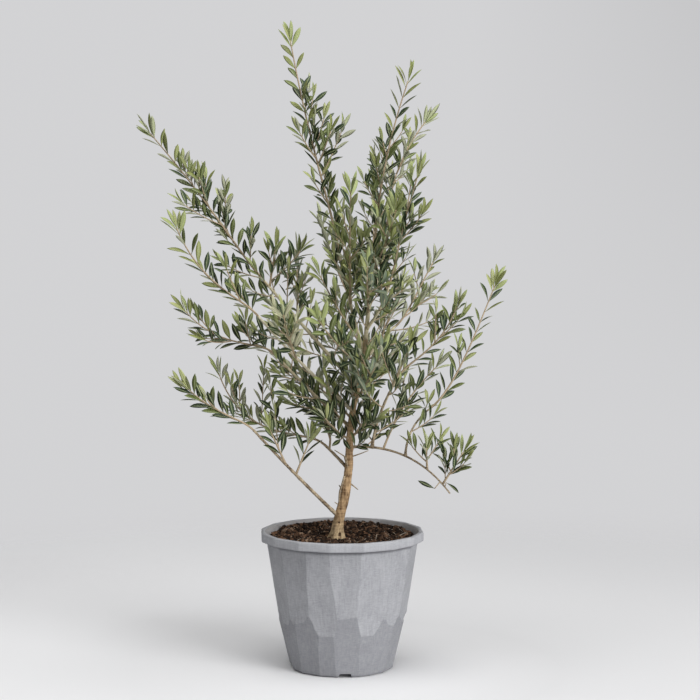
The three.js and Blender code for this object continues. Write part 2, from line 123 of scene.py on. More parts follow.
def plainFinishes(tints, prefix=""):  # tints are (colour, roughness, specular) by name
    return {name: makeFinish(prefix + name, *tint)[0] for name, tint in tints.items()}


def feed(maker, shader, name, wire):
    maker.tree.links.new(wire.socket, shader.inputs[name])


def addBump(maker, shader, height, strength, distance):
    bump = maker.add("Bump", {"Height": height, "Strength": strength, "Distance": distance})
    feed(maker, shader, "Normal", bump)


def addObject(name, data):
    piece = bpy.data.objects.new(name, data)
    bpy.context.scene.collection.objects.link(piece)
    return piece


def turnOut(bm):
    bmesh.ops.recalc_face_normals(bm, faces=bm.faces[:])


def takeMesh(bm, smooth=True):
    mesh = bpy.data.meshes.new("mesh")
    for face in bm.faces:
        face.smooth = smooth
    bm.to_mesh(mesh)
    bm.free()
    return mesh


def arraysOf(bm):  # places, faces and finish numbers
    bm.verts.index_update()
    verts = np.array([v.co[:] for v in bm.verts])
    faces = np.array([[v.index for v in f.verts] for f in bm.faces])
    slots = np.array([f.material_index for f in bm.faces])
    bm.free()
    return verts, faces, slots


def joinedMesh(parts, smooth):  # parts are (places, faces, finish numbers), joined into one mesh
    starts = np.cumsum([0] + [len(verts) for verts, _, _ in parts])
    verts = np.concatenate([part[0] for part in parts])
    faces = np.concatenate([part[1] + start for part, start in zip(parts, starts)])
    mesh = bpy.data.meshes.new("mesh")
    mesh.from_pydata(verts.tolist(), [], faces.tolist())
    slots = np.concatenate([part[2] for part in parts])
    mesh.polygons.foreach_set("material_index", slots.astype(np.int32))
    mesh.polygons.foreach_set("use_smooth", np.full(len(faces), smooth))
    mesh.update()
    return mesh


def evaluated(piece):  # its mesh with modifiers applied; the piece itself goes
    graph = bpy.context.evaluated_depsgraph_get()
    mesh = bpy.data.meshes.new_from_object(piece.evaluated_get(graph))
    mesh.materials.clear()
    bpy.data.objects.remove(piece)
    return mesh


def spunForm(points, steps):  # a line of points spun round the upright axis
    bm = bmesh.new()
    line = [bm.verts.new(point) for point in points]
    edges = [bm.edges.new(pair) for pair in zip(line, line[1:])]
    bmesh.ops.spin(bm, geom=line + edges, cent=(0, 0, 0), axis=(0, 0, 1), angle=2 * math.pi,
                   steps=steps, use_merge=True)
    bmesh.ops.remove_doubles(bm, verts=bm.verts[:], dist=1e-6)
    return bm


def addPiece(name, mesh, finishes, slot, *nodes):
    mesh.name = name
    for finish in finishes:
        mesh.materials.append(finish)
    piece = addObject(name, mesh)
    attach(piece, "root")
    if nodes:
        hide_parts(*nodes)


# camera, lights and floor
view = {
    "lens": 102.1, "distance": 3.6, "height": 0.86, "right": 0.0145, "tiltDown": 4.4, "aim": (0, 0, 0.55),
    "background": (0.648, 0.648, 0.660), "ambient": 0.13,
    "cornerShade": 0.13, "cornerRight": (0.06, 0.18), "cornerHigh": (-0.12, 0.10),
    # floor colours: painted light, paler to the left and paler still round the pot
    "floorLeft": (0.845, 0.845, 0.855), "floorRight": (0.745, 0.745, 0.755), "floorNearPaintedLight": (0.90, 0.90, 0.91),
    "floorAcross": (-0.6, 0.6), "nearPaintedLightReach": (0.14, 0.40), "floorInner": 0.6, "floorOuter": 2.1,
}
softLights = [  # place, size and power of each softbox, all aimed at the middle of the plant
    ((2.90, -3.05, 1.75), 2.3, 146),
    ((-0.3, -0.7, 5.2), 4.5, 222),
]


def setCamera():
    camera = bpy.data.cameras.new("camera")
    camera.lens = view["lens"]
    camera.sensor_width = 36
    holder = addObject("camera", camera)
    holder.location = (view["right"], -view["distance"], view["height"])
    holder.rotation_euler = (math.radians(90 - view["tiltDown"]), 0, 0)
    bpy.context.scene.camera = holder
    bpy.context.scene.view_settings.view_transform = "Standard"


def setWorld():  # an even backdrop, a little darker to the upper right, and a fainter glow from all sides
    world = bpy.data.worlds.new("studio")
    bpy.context.scene.world = world
    world.use_nodes = True
    world.node_tree.nodes.clear()
    maker = NodeMaker(world.node_tree)
    place = maker.place(0)
    right = maker.between(maker.axis(place, 0), *view["cornerRight"])
    high = maker.between(maker.axis(place, 2), *view["cornerHigh"])
    shade = 1.0 - right * high * view["cornerShade"]
    room = maker.add("Background", {"Color": (*view["background"], 1), "Strength": shade})
    glow = maker.add("Background", {"Color": (1, 1, 1, 1), "Strength": view["ambient"]})
    both = maker.add("MixShader", {0: maker.add("LightPath"), 1: glow, 2: room})
    output = world.node_tree.nodes.new("ShaderNodeOutputWorld")
    world.node_tree.links.new(both.socket, output.inputs["Surface"])


def setLights():
    for index, (place, size, power) in enumerate(softLights):
        light = bpy.data.lights.new(f"softbox{index}", "AREA")
        light.energy = power
        light.size = size
        holder = addObject(f"softbox{index}", light)
        holder.location = place
        holder.visible_camera = False
        holder.rotation_euler = (Vector(view["aim"]) - Vector(place)).to_track_quat("-Z", "Y").to_euler()


def makeFloor():  # painted light: paler round the pot and to the left, lifting the shadows of the pot and plant, and clear at its edge
    bm = bmesh.new()
    bmesh.ops.create_circle(bm, cap_ends=True, segments=128, radius=view["floorOuter"] * 1.02)
    floor = addObject("floor", takeMesh(bm, False))
    material, shader, maker = makeFinish("floor", view["floorLeft"], 0.9, 0.1)
    place = maker.place()
    reach = maker.lengthOf(place)
    # painted light: the floor runs paler to the left and round the pot, where the pot and plant shade it
    across = maker.between(maker.axis(place, 0), *view["floorAcross"])
    far = maker.mixColours(across, view["floorLeft"], view["floorRight"])
    near = 1.0 - maker.between(reach, *view["nearPaintedLightReach"])
    feed(maker, shader, "Base Color", maker.mixColours(near, far, view["floorNearPaintedLight"]))
    fade = maker.between(reach, view["floorInner"], view["floorOuter"], interpolation_type="SMOOTHERSTEP")
    surface = {0: fade, 1: Wire(maker, shader.outputs[0]), 2: maker.add("BsdfTransparent")}
    mixed = maker.add("MixShader", surface)
    maker.tree.links.new(mixed.socket, maker.tree.nodes["Material Output"].inputs["Surface"])
    floor.data.materials.append(material)


setCamera()
setWorld()
setLights()
makeFloor()
print("camera, lights and floor set")


# finishes
potLook = {
    "base": ((0.335, 0.339, 0.360), 0.68, 0.35), "bump": (0.4, 0.0006), "roughness": (0.82, 0.22),
    "clouds": {
        "streaks": (300, 3, (1, 1, 0.10)), "dashes": (110, 3, (1, 1, 9)), "mottle": (24, 4), "grain": (1100, 2),
    },
    "tone": {"streaks": 0.25, "dashes": 0.31, "mottle": 0.2, "grain": 0.24},
    "relief": {"streaks": 0.3, "dashes": 0.3, "grain": 0.4},
    "spread": (0.37, 0.63), "dark": (0.282, 0.285, 0.307), "pale": (0.474, 0.479, 0.502),
    # where the painted light falls: the leaning panels' shade by the normal's height, the rim's highlight and the
    # shade under it by depth below the top, the shade inside by height and reach
    "leaning": (-0.205, -0.175), "rim": (-0.0165, -0.0155), "under": (-0.0240, -0.0180),
    "insideHeight": (0.238, 0.246), "insideReach": (0.1405, 0.1415),
}
potLayers = {  # share and colour of each layer of painted light: shade on the leaning panels, a highlight on the rim, shade under the rim and shade inside it
    "leaning": (0.35, (0.150, 0.152, 0.168)), "rim": (0.15, (0.660, 0.665, 0.690)),
    "under": (0.8, (0.090, 0.090, 0.100)), "inside": (0.45, (0.200, 0.170, 0.150)),
}
soilLook = {
    "base": ((0.04, 0.025, 0.016), 0.95, 0.15), "bump": (0.9, 0.002),
    "clouds": {"clods": (260, 6), "patches": (60, 3)}, "tone": {"clods": 0.6, "patches": 0.4},
    "spread": (0.4, 0.66),
    "wet": (0.006, 0.004, 0.003), "dry": (0.084, 0.051, 0.033),
}
barkLook = {
    "base": (0.85, 0.25), "bump": (0.85, 0.0014),
    "clouds": {
        "fissures": (300, 5, (1, 1, 0.22), 0.65), "patches": (70, 4, (1, 1, 0.5)),
        "rings": (150, 3, (0.22, 0.22, 2.2)),
    },
    "tone": {"fissures": 0.36, "patches": 0.36, "rings": 0.28}, "relief": {"fissures": 0.6, "rings": 0.4},
    "spread": (0.39, 0.60),
    "foot": (0.252, 0.285), "footWander": 0.03, "footTint": (0.660, 0.510, 0.310),
    "greenWander": 0.12, "greenShare": 0.75,
}
barkTones = {  # dark, pale, green, and between which heights it turns green
    "trunkBark": ((0.115, 0.062, 0.028), (0.660, 0.448, 0.250), (0.42, 0.38, 0.25), (0.40, 0.75)),
    "boughBark": ((0.135, 0.094, 0.058), (0.570, 0.460, 0.315), (0.74, 0.69, 0.47), (0.43, 0.66)),
    "creamBark": ((0.480, 0.400, 0.270), (0.800, 0.735, 0.560), (0.76, 0.71, 0.52), (0.50, 0.80)),
}
chipTints = {
    "chipDark": ((0.015, 0.008, 0.005), 0.9, 0.2), "chipBrown": ((0.072, 0.040, 0.024), 0.9, 0.2),
    "chipRed": ((0.145, 0.078, 0.045), 0.9, 0.2), "chipTan": ((0.230, 0.155, 0.105), 0.85, 0.2),
    "chipPale": ((0.560, 0.480, 0.390), 0.8, 0.25),
}
leafTints = {  # colours of the upper side, dealt out leaf by leaf
    "deep": (0.033, 0.049, 0.016), "blue": (0.060, 0.092, 0.046), "middle": (0.160, 0.196, 0.063),
    "olive": (0.292, 0.322, 0.108), "soft": (0.455, 0.488, 0.205), "young": (0.400, 0.460, 0.185),
    "cream": (0.600, 0.585, 0.400), "frost": (0.230, 0.285, 0.200),
}
underTints = {"under": (0.430, 0.445, 0.310), "underYoung": (0.520, 0.560, 0.340)}
ribTints = {"rib": (0.360, 0.400, 0.215)}
twigTints = {"wood": (0.460, 0.360, 0.240), "cane": (0.820, 0.770, 0.550), "green": (0.720, 0.730, 0.460)}
sheens = {"leaf": (0.42, 0.38), "under": (0.7, 0.25), "rib": (0.55, 0.3), "twig": (0.75, 0.25)}


def makePotFinish():  # brushed grey, with painted shade under the rim, on the panels that lean back below the knee and inside the rim above the soil, and a painted highlight on the rim
    material, shader, maker = makeFinish("potGrey", *potLook["base"])
    layers, pale = maker.tone(potLook)
    colour = maker.mixColours(pale, potLook["dark"], potLook["pale"])
    place = maker.place()
    height = maker.axis(place, 2)
    reach = maker.lengthOf(maker.add("VectorMath", {0: place, 1: (1, 1, 0)}, operation="MULTIPLY"))
    fromTop = height - potBox[1].z
    rim = maker.between(fromTop, *potLook["rim"])
    areas = {
        # painted shade: panels that face further down, below the knee, are darkened
        "leaning": 1.0 - maker.between(maker.axis(maker.place(1), 2), *potLook["leaning"]),
        # painted highlight: the whole rim is made paler, for the light it catches
        "rim": rim,
        # painted shade: a dark band on the wall just under the rim
        "under": maker.between(fromTop, *potLook["under"]) * (1.0 - rim),
        # painted shade inside the rim above the soil, tinted brown as painted light thrown up from the soil
        "inside": maker.between(height, *potLook["insideHeight"])
        * (1.0 - maker.between(reach, *potLook["insideReach"])),
    }
    for name, area in areas.items():
        share, tint = potLayers[name]
        colour = maker.mixColours(area * share, colour, tint)
    feed(maker, shader, "Base Color", colour)
    roughest, smoother = potLook["roughness"]
    feed(maker, shader, "Roughness", roughest - pale * smoother)
    addBump(maker, shader, maker.blend(layers, potLook["relief"]), *potLook["bump"])
    return material


def makeSoilFinish():
    material, shader, maker = makeFinish("soilBrown", *soilLook["base"])
    layers, dry = maker.tone(soilLook)
    feed(maker, shader, "Base Color", maker.mixColours(dry, soilLook["wet"], soilLook["dry"]))
    addBump(maker, shader, layers["clods"], *soilLook["bump"])
    return material


def makeBarkFinish(name, dark, pale, green, greenHeights):  # greenish higher up, paler at the foot
    material, shader, maker = makeFinish(name, pale, *barkLook["base"])
    layers, tone = maker.tone(barkLook)
    height, wander = maker.axis(maker.place(), 2), layers["patches"] - 0.5
    foot = 1.0 - maker.between(height + wander * barkLook["footWander"], *barkLook["foot"])
    bark = maker.mixColours(tone, dark, maker.mixColours(foot, pale, barkLook["footTint"]))
    young = maker.between(height + wander * barkLook["greenWander"], *greenHeights)
    feed(maker, shader, "Base Color", maker.mixColours(young * barkLook["greenShare"], bark, green))
    addBump(maker, shader, maker.blend(layers, barkLook["relief"]), *barkLook["bump"])
    return material


def tintFinishes(prefix, tints, sheen):
    return plainFinishes({name: (tint, *sheens[sheen]) for name, tint in tints.items()}, prefix)


potFinish = makePotFinish()
soilFinish = makeSoilFinish()
barkFinishes = {name: makeBarkFinish(name, *tones) for name, tones in barkTones.items()}
# dark wood in the knot hole and split, deepened as painted shade in those hollows
darkWoodShadeFinish = makeFinish("darkWoodAndShade", (0.060, 0.034, 0.018), 0.9, 0.2)[0]
chipFinishes = plainFinishes(chipTints)
leafFinishes = tintFinishes("leaf_", leafTints, "leaf")
leafFinishes |= tintFinishes("leaf_", underTints, "under") | tintFinishes("leaf_", ribTints, "rib")
twigFinishes = tintFinishes("twig_", twigTints, "twig")
leafSlots, twigSlots = list(leafFinishes), list(twigFinishes)
print("finishes made")


# pot
pot = {
    "height": potBox[1].z, "rimRadius": potBox[1].x, "rimHeight": 0.016, "rimLip": 0.009, "rimWall": 0.004,
    "kneeHeight": 0.095, "kneeRadius": 0.1182, "upperSlope": 0.152, "lowerSlope": 0.233,
    "wall": 0.0075, "floor": 0.010, "panels": 16, "seed": 3, "columns": 640, "rowHeight": 0.0034,
    "turnSpread": 0.35, "leanSpread": 5.0, "depthSpread": 0.0016,
    "wander": 1.3, "hollow": 0.0004, "rowFade": 0.007,
    "channels": 4, "channelTurn": 3.5, "channelTop": 0.020, "channelBottom": 0.027,
    "channelHeight": 0.0073, "channelLength": 0.05, "channelOut": 0.012, "channelUnder": 0.004,
    "skin": 0.0068, "flatTurn": 0.36, "flatEase": 0.0003,
}
potEdges = {  # steps out and up from a corner
    "foot": [(-0.0065, 0), (-0.0040, 0.0004), (-0.0018, 0.0018)],
    "skirt": [(0, 0.008), (0, 0.001), (0.001, 0)],
    "rim": [(-0.0012, 0), (-0.0003, 0.0009), (0, 0.0024), (0, 0.008)],
    "top": [(0, -0.0024), (-0.0005, -0.0010), (-0.0016, 0)],
    "lip": [(0.0014, 0), (0, -0.0010)],
}
frontRidges = {  # degrees right of the front, at the top and at the foot of each row of panels
    "upper": [(-27.8, -29.3), (-9.5, -4.0), (15.0, 12.0), (41.0, 39.0)],
    "lower": [(-21.5, -24.0), (-7.5, -6.0), (17.5, 17.5), (31.0, 31.0)],
}
rowEdge = [  # where the rows meet: degrees right of the front and height in mm
    (-160, 104), (-140, 88), (-118, 104), (-96, 86), (-74, 106), (-58, 92), (-46, 102), (-29.5, 109),
    (-21, 84), (-6.5, 84), (-4, 112), (13.5, 112), (17.5, 85), (29.5, 85), (36, 103), (52, 97),
    (66, 106), (80, 88), (100, 104), (122, 86), (146, 106), (168, 90),
]


def makeRandom(seed):  # the same generator as in the plant's solids
    state = seed * 7919

    def draw():
        nonlocal state
        state = state * 16807 % 2147483647
        return state / 2147483647
    return draw


def wallAt(height):  # the outside of the wall at its ridges, steeper below the knee
    rise = height - pot["kneeHeight"]
    return pot["kneeRadius"] + rise * (pot["upperSlope"] if rise > 0 else pot["lowerSlope"])


def innerAt(height):
    return wallAt(height) - pot["wall"]


def makeRidges(draw, front):  # one row's ridges: those at the front in their own places, the rest dealt out
    span = 360 + front[0][0] - front[-1][0]
    count = pot["panels"] - len(front) + 1
    ends = list(front)
    for index in range(1, count):
        turn = front[-1][0] + span * (index + pot["turnSpread"] * (draw() - 0.5)) / count
        lean = pot["leanSpread"] * (draw() - 0.5)
        ends.append((turn + lean, turn - lean))
    depths = np.array([pot["depthSpread"] * (draw() - 0.5) for _ in ends])
    phases = [draw() * 40 for _ in ends]
    return np.array(ends), depths, phases


def rowRadius(ridges, angles, height, slope, part):  # flat panels from ridge to ridge, faintly hollowed
    ends, depths, phases = ridges
    sway = [pot["wander"] * noise.noise(Vector((height * 26, phase, 0.5))) for phase in phases]
    turns = np.radians(ends[:, 1] + (ends[:, 0] - ends[:, 1]) * part + sway - 90)
    reach = pot["kneeRadius"] + (height - pot["kneeHeight"]) * slope + depths
    place = (angles - turns[0]) % (2 * math.pi) + turns[0]
    after = np.searchsorted(turns, place, side="right")
    first, second = turns[after - 1], np.append(turns, turns[0] + 2 * math.pi)[after]
    firstReach, secondReach = reach[after - 1], np.append(reach, reach[0])[after]
    chord = firstReach * np.sin(place - first) + secondReach * np.sin(second - place)
    across = (place - first) / (second - first)
    return firstReach * secondReach * np.sin(second - first) / chord - pot["hollow"] * np.sin(math.pi * across)


def edgeAt(name, reach, height):
    return [(reach + out, height + up) for out, up in potEdges[name]]


def potProfile():  # (reach, height) from the middle of the foot up the outside and down the inside
    foot, rim, top = wallAt(0), pot["rimRadius"], pot["height"]
    rimFoot = top - pot["rimHeight"]
    rows = int((rimFoot - 0.006) / pot["rowHeight"])
    outside = np.linspace(0.0045, rimFoot + 0.008, rows)
    inside = (rimFoot, 0.2, pot["kneeHeight"], pot["floor"])
    return [
        (0, 0), (foot * 0.5, 0), *edgeAt("foot", foot, 0), *((wallAt(height), height) for height in outside),
        *edgeAt("skirt", rim - pot["rimWall"], rimFoot), *edgeAt("rim", rim, rimFoot), *edgeAt("top", rim, top),
        *edgeAt("lip", rim - pot["rimLip"], top), (innerAt(rimFoot) + 0.003, rimFoot + 0.006),
        *((innerAt(height), height) for height in inside), (0, pot["floor"]),
    ]


def makePot():
    rimFoot, rim = pot["height"] - pot["rimHeight"], pot["rimRadius"]
    bm = spunForm([(0, -reach, height) for reach, height in potProfile()], pot["columns"])
    draw = makeRandom(pot["seed"])
    upper, lower = (makeRidges(draw, frontRidges[row]) for row in ("upper", "lower"))
    places = np.array([v.co[:] for v in bm.verts])
    reaches = np.hypot(places[:, 0], places[:, 1])
    angles = np.arctan2(places[:, 1], places[:, 0])
    heights = places[:, 2].round(6)
    factors = np.ones(len(places))
    for height in np.unique(heights):
        level = (heights == height) & (reaches > wallAt(height) - pot["skin"])
        if height > rimFoot - 1e-5:
            level &= reaches < rim - pot["rimWall"] - 0.001
        part = min(max((height - pot["kneeHeight"]) / (rimFoot - pot["kneeHeight"]), 0), 1)
        high = rowRadius(upper, angles[level], height, pot["upperSlope"], part)
        low = rowRadius(lower, angles[level], height, pot["lowerSlope"], min(height / pot["kneeHeight"], 1))
        edge = np.interp(np.degrees(angles[level]) + 90, *zip(*rowEdge), period=360) * mm
        share = np.clip((edge - height) / pot["rowFade"] + 0.5, 0, 1)
        factors[level] = (high + (low - high) * share * share * (3 - 2 * share)) / wallAt(height)
    step = 2 * math.pi / pot["panels"]
    onRim = (heights > rimFoot - 1e-5) & (reaches > rim - pot["rimLip"] - 0.0005)
    off = (angles[onRim] + step * pot["flatTurn"]) % step - step / 2  # the rim's flats
    factors[onRim] = np.minimum(rim, rim * math.cos(step / 2) / np.cos(off) + pot["flatEase"]) / rim
    for vert, factor in zip(bm.verts, factors):
        vert.co.x *= factor
        vert.co.y *= factor
    turnOut(bm)
    addPiece("potShell", withChannels(takeMesh(bm)), [potFinish], "pot", "pot")


def withChannels(mesh):  # drainage channels in from the edge of the foot, the first at the front
    bm = bmesh.new()
    for index in range(pot["channels"]):
        made = bmesh.ops.create_cube(bm, size=1.0)["verts"]
        for vert in made:
            vert.co.x *= pot["channelTop"] if vert.co.z > 0 else pot["channelBottom"]
            vert.co.y = pot["channelLength"] * (0.5 - vert.co.y) - wallAt(0) - pot["channelOut"]
            vert.co.z = pot["channelHeight"] if vert.co.z > 0 else -pot["channelUnder"]
        turn = Matrix.Rotation(math.radians(pot["channelTurn"] + 360 / pot["channels"] * index), 3, "Z")
        bmesh.ops.rotate(bm, verts=made, cent=(0, 0, 0), matrix=turn)
    turnOut(bm)
    shell, cutter = addObject("shell", mesh), addObject("channels", takeMesh(bm, False))
    cut = shell.modifiers.new("channels", "BOOLEAN")
    cut.object = cutter
    cut.operation = "DIFFERENCE"
    cut.solver = "MANIFOLD"
    made = evaluated(shell)
    bpy.data.objects.remove(cutter)
    return made


makePot()
print("pot made")


# the plant's lines, by the same rule as its solids; millimetres
soilLevel = 243
trunkKnots = [
    (-10, -22, soilLevel - 4), (-6, -17, 274), (6, -11, 320), (12, -6, 370),
    (15, -3, 435), (24, 0, 495), (38, 3, 550), (43, 5, 602),
]
trunk = {
    "radius": 10.4, "forkRadius": 4.6, "flareReach": 6.5, "flareHeight": 26, "rootLobes": 4, "steps": 22,
}
growth = {
    "gap": 0.3, "runOn": 0.2, "limbClearance": 1.6, "spaceMargin": 2, "firstSeed": 11, "boughSteps": 6,
    "twigLength": 70, "twigOpening": (34, 52), "twigZone": (0.14, 0.8), "twigLift": 0.45, "twigTurnSpread": 1.6,
    "twigSizes": (0.7, 1.2), "twigTaper": (1.1, 0.6), "forkSag": 0.08,
}

# each bough: its parent, how far along it, the reach right, back and up, the bend of its middle, and radii
boughs = {
    "low_left": ("trunk", 0.11, (-153, -50, 165), (-2, 1, -1), (3.4, 2.1)),
    "second_left": ("trunk", 0.35, (-44, 28, 42), (0, 0, 1), (3.0, 2.3)),
    "low_right": ("trunk", 0.46, (181, -56, -77), (11, -2, 26), (3.6, 1.9)),
    "mid_left": ("trunk", 0.56, (-137, -12, 134), (0, 0, -5), (3.1, 2.1)),
    "front_left": ("trunk", 0.64, (-170, -54, 177), (-4, 2, -3), (3.1, 2.1)),
    "upper_left": ("trunk", 0.76, (-183, 29, 206), (-3, 0, 2), (3.6, 2.3)),
    "outer_right": ("trunk", 0.88, (60, 67, 64), (-1, 0, 4), (3.0, 2.1)),
    "left_leader": ("trunk", 0.92, (-45, 21, 186), (-3, 0, 0), (3.5, 2.5)),
    "right_leader": ("trunk", 1, (15, -20, 163), (0, 0, 0), (4.2, 2.6)),
    "front_right": ("right_leader", 0.12, (39, -55, 78), (3, 0, -4), (2.8, 2.1)),
    "back_right": ("right_leader", 0.34, (27, 44, 87), (0, 6, -4), (2.6, 2.1)),
    "right_riser": ("low_right", 0.2, (48, -84, 140), (-8, -2, 1), (2.7, 2.0)),
    "right_climber": ("low_right", 0.5, (46, 34, 83), (-10, 2, 5), (2.6, 2.0)),
}

# each leafy shoot, placed as a bough is, with its number of side twigs; forks are side twigs with a
# place of their own, each a fraction along the shoot and a reach from there
shootPlans = {
    "low_left": ("low_left", 1, (-113, -38, 77), (-4, 0, -5), 3),
    "low_left_inner": ("low_left", 0.62, (-28, -16, 65), (0, 0, 0), 1),
    "low_left_riser": ("low_left", 0.5, (25, 12, 62), (0, 0, 0), 0),
    "second_left": ("second_left", 1, (-199, 96, 121), (-24, 2, -36), 3,
        [(0.36, (-14, -36, 88)), (0.5, (5, 0, 100)), (0.7, (-14, -24, 44))]),
    "second_inner": ("second_left", 0.8, (-51, 22, 98), (18, 3, 9), 2),
    "upper_left": ("upper_left", 1, (-199, 40, 256), (4, 0, 3), 3,
        [(0.07, (4, -34, 52)), (0.31, (-2, 52, 65)), (0.48, (-4, 11, 42)), (0.34, (-68, -24, 38))]),
    "upper_left_top": ("upper_left", 0.88, (10, 8, 71), (0, 0, 0), 1),
    "upper_left_back": ("upper_left", 0.6, (-3, 98, 118), (0, 8, -8), 2),
    "front_left": ("front_left", 1, (-138, -70, 157), (-14, -2, -13), 1, [(0.18, (-24, -18, 58))]),
    "front_left_inner": ("front_left", 0.58, (-18, -140, 86), (0, 0, -8), 3),
    "mid_left": ("mid_left", 1, (-161, -15, 79), (-9, 0, -17), 3, [(0.26, (-8, -24, 42))]),
    "left_leader": ("left_leader", 1, (-90, 26, 386), (-5, 0, 0), 3,
        [(0.36, (38, 42, 86)), (0.42, (24, -30, 58)), (0.49, (18, 12, 55))]),
    "left_leader_front": ("left_leader", 0.12, (-73, -84, 127), (0, 0, -6), 2),
    "centre_front": ("left_leader", 0.5, (0, -130, 205), (-1, -10, -6), 3),
    "right_leader": ("right_leader", 1, (60, -28, 301), (-10, 0, 2), 1, [(0.26, (-26, -40, 42))]),
    "back_right": ("back_right", 1, (80, 84, 255), (-24, 0, 8), 3),
    "front_right": ("front_right", 1, (51, -70, 204), (-2, 0, 2), 1,
        [(0.41, (36, -26, 44)), (0.56, (12, 11, 74))]),
    "outer_right": ("outer_right", 1, (74, 98, 117), (1, 0, 0), 2, [(0.15, (41, 34, 35))]),
    "outer_right_inner": ("outer_right", 0.5, (42, 80, 108), (0, 6, -6), 2),
    "low_right_tip": ("low_right", 0.9, (36, -16, 60), (0, 0, 0), 0,
        [(0.3, (26, -18, 22)), (0.4, (-14, 22, 36))]),
    "low_right_inner": ("low_right", 0.72, (-3, -26, 43), (0, 0, 0), 0,
        [(0.35, (-26, 16, 26)), (0.45, (22, 8, 32))]),
    "right_riser": ("right_riser", 1, (98, -46, 122), (11, 2, -8), 1, [(0.6, (34, -14, 34))]),
    "right_riser_inner": ("right_riser", 0.85, (31, -34, 78), (0, 0, 0), 1),
    "right_climber": ("right_climber", 1, (119, 30, 223), (6, 0, -3), 0),
    "right_back": ("low_right", 0.3, (103, 112, 142), (-9, 0, 6), 2, [(0.24, (22, 56, 80))]),
    "trunk_left": ("trunk", 0.5, (-44, -66, 46), (0, 0, -5), 1),
    "trunk_right": ("trunk", 0.52, (46, -70, 34), (0, 0, -4), 1),
    "front_low": ("trunk", 0.7, (44, -188, 98), (0, 0, -8), 3),
    "front_high": ("right_leader", 0.3, (-4, -182, 92), (0, 0, -10), 2),
    "front_mid": ("trunk", 0.86, (-78, -184, 98), (0, 0, -8), 2),
    "front_top": ("right_leader", 0.76, (40, -146, 112), (0, 0, -10), 3),
    "back_mid": ("trunk", 0.82, (-60, 206, 116), (0, 0, -10), 4),
    "back_left": ("trunk", 0.6, (-112, 182, 74), (0, 0, 8), 4),
    "back_low": ("trunk", 0.69, (84, 210, 84), (0, 0, -4), 4),
    "back_top_left": ("left_leader", 0.62, (-50, 178, 126), (0, 0, -10), 2),
    "back_top_right": ("right_leader", 0.55, (10, 196, 138), (0, 0, -10), 3),
}


class Line:  # a curve read by its own length
    def __init__(self, place):
        self.place = place
        self.marks = np.linspace(0, 1, 201)
        points = np.array([place(t) for t in self.marks])
        lengths = np.linalg.norm(np.diff(points, axis=0), axis=1)
        self.run = np.concatenate([[0], np.cumsum(lengths)])
        self.length = self.run[-1]

    def at(self, part):
        return self.place(float(np.interp(part * self.length, self.run, self.marks)))

    def heading(self, part):
        t = float(np.interp(part * self.length, self.run, self.marks))
        step = self.place(min(t + 1e-4, 1)) - self.place(max(t - 1e-4, 0))
        return step / np.linalg.norm(step)

    def spaced(self, steps):
        return np.array([self.at(i / steps) for i in range(steps + 1)])


def bezier(*points):
    points = [np.array(p, float) for p in points]

    def place(t):
        level = points
        while len(level) > 1:
            level = [a + (b - a) * t for a, b in zip(level, level[1:])]
        return level[0]
    return Line(place)


def smoothThrough(knots):  # a centripetal spline through the knots
    knots = [np.array(k, float) for k in knots]
    knots = [2 * knots[0] - knots[1], *knots, 2 * knots[-1] - knots[-2]]
    spans = len(knots) - 3

    def place(t):
        index = min(int(t * spans), spans - 1)
        part = t * spans - index
        p0, p1, p2, p3 = knots[index:index + 4]
        d0, d1, d2 = (math.sqrt(np.linalg.norm(b - a)) for a, b in ((p0, p1), (p1, p2), (p2, p3)))
        m1 = ((p1 - p0) / d0 - (p2 - p0) / (d0 + d1) + (p2 - p1) / d1) * d1
        m2 = ((p2 - p1) / d1 - (p3 - p1) / (d1 + d2) + (p3 - p2) / d2) * d1
        return p1 + m1 * part + (3 * (p2 - p1) - 2 * m1 - m2) * part ** 2 + (2 * (p1 - p2) + m1 + m2) * part ** 3
    return Line(place)


def blendOf(first, second, part):
    return first + (second - first) * part


def unit(vector):
    return vector / np.linalg.norm(vector)


def trunkRadius(part):
    taper = blendOf(trunk["radius"], trunk["forkRadius"], min(1, part * 1.25) ** 0.8)
    return max(taper, trunk["forkRadius"])


def trunkFlare(part, angle):
    flare = trunk["flareReach"] * math.exp(-part * limbs["trunk"]["line"].length / (trunk["flareHeight"] / 2.2))
    return flare * (1 + 0.45 * math.cos(trunk["rootLobes"] * angle + 0.6))


limbs = {"trunk": {"line": smoothThrough(trunkKnots), "radiusAt": trunkRadius, "steps": trunk["steps"]}}


def lineFor(parent, at, reach, bend):
    start, heading = limbs[parent]["line"].at(at), limbs[parent]["line"].heading(at)
    if at == 1:
        start = start + heading * growth["gap"]
    reach = np.array(reach, float)
    end = start + reach
    middle = (start + end) / 2 + np.array(bend, float) * 2
    if at < 1:
        return bezier(start, middle, end)
    return bezier(start, start + heading * np.linalg.norm(reach) * growth["runOn"], middle, end)


def taper(foot, tip):
    return lambda part: blendOf(foot, tip, part)


def forkLine(line, at, reach):  # hangs a little before it turns up
    start = line.at(at)
    reach = np.array(reach, float)
    sag = np.array((0, 0, growth["forkSag"] * np.linalg.norm(reach)))
    return bezier(start, start + reach / 2 - sag, start + reach)


for name, (parent, at, reach, bend, radii) in boughs.items():
    limbs[name] = {"at": at, "line": lineFor(parent, at, reach, bend), "radiusAt": taper(*radii),
                   "steps": growth["boughSteps"]}
shoots = {}
for index, (name, (parent, at, reach, bend, twigCount, *forks)) in enumerate(shootPlans.items()):
    line = lineFor(parent, at, reach, bend)
    forkLines = [(part, forkLine(line, part, out)) for plan in forks for part, out in plan]
    shoots[name] = {"on": parent, "at": at, "index": index, "seed": growth["firstSeed"] + index, "line": line,
                    "twigs": twigCount, "forkLines": forkLines}


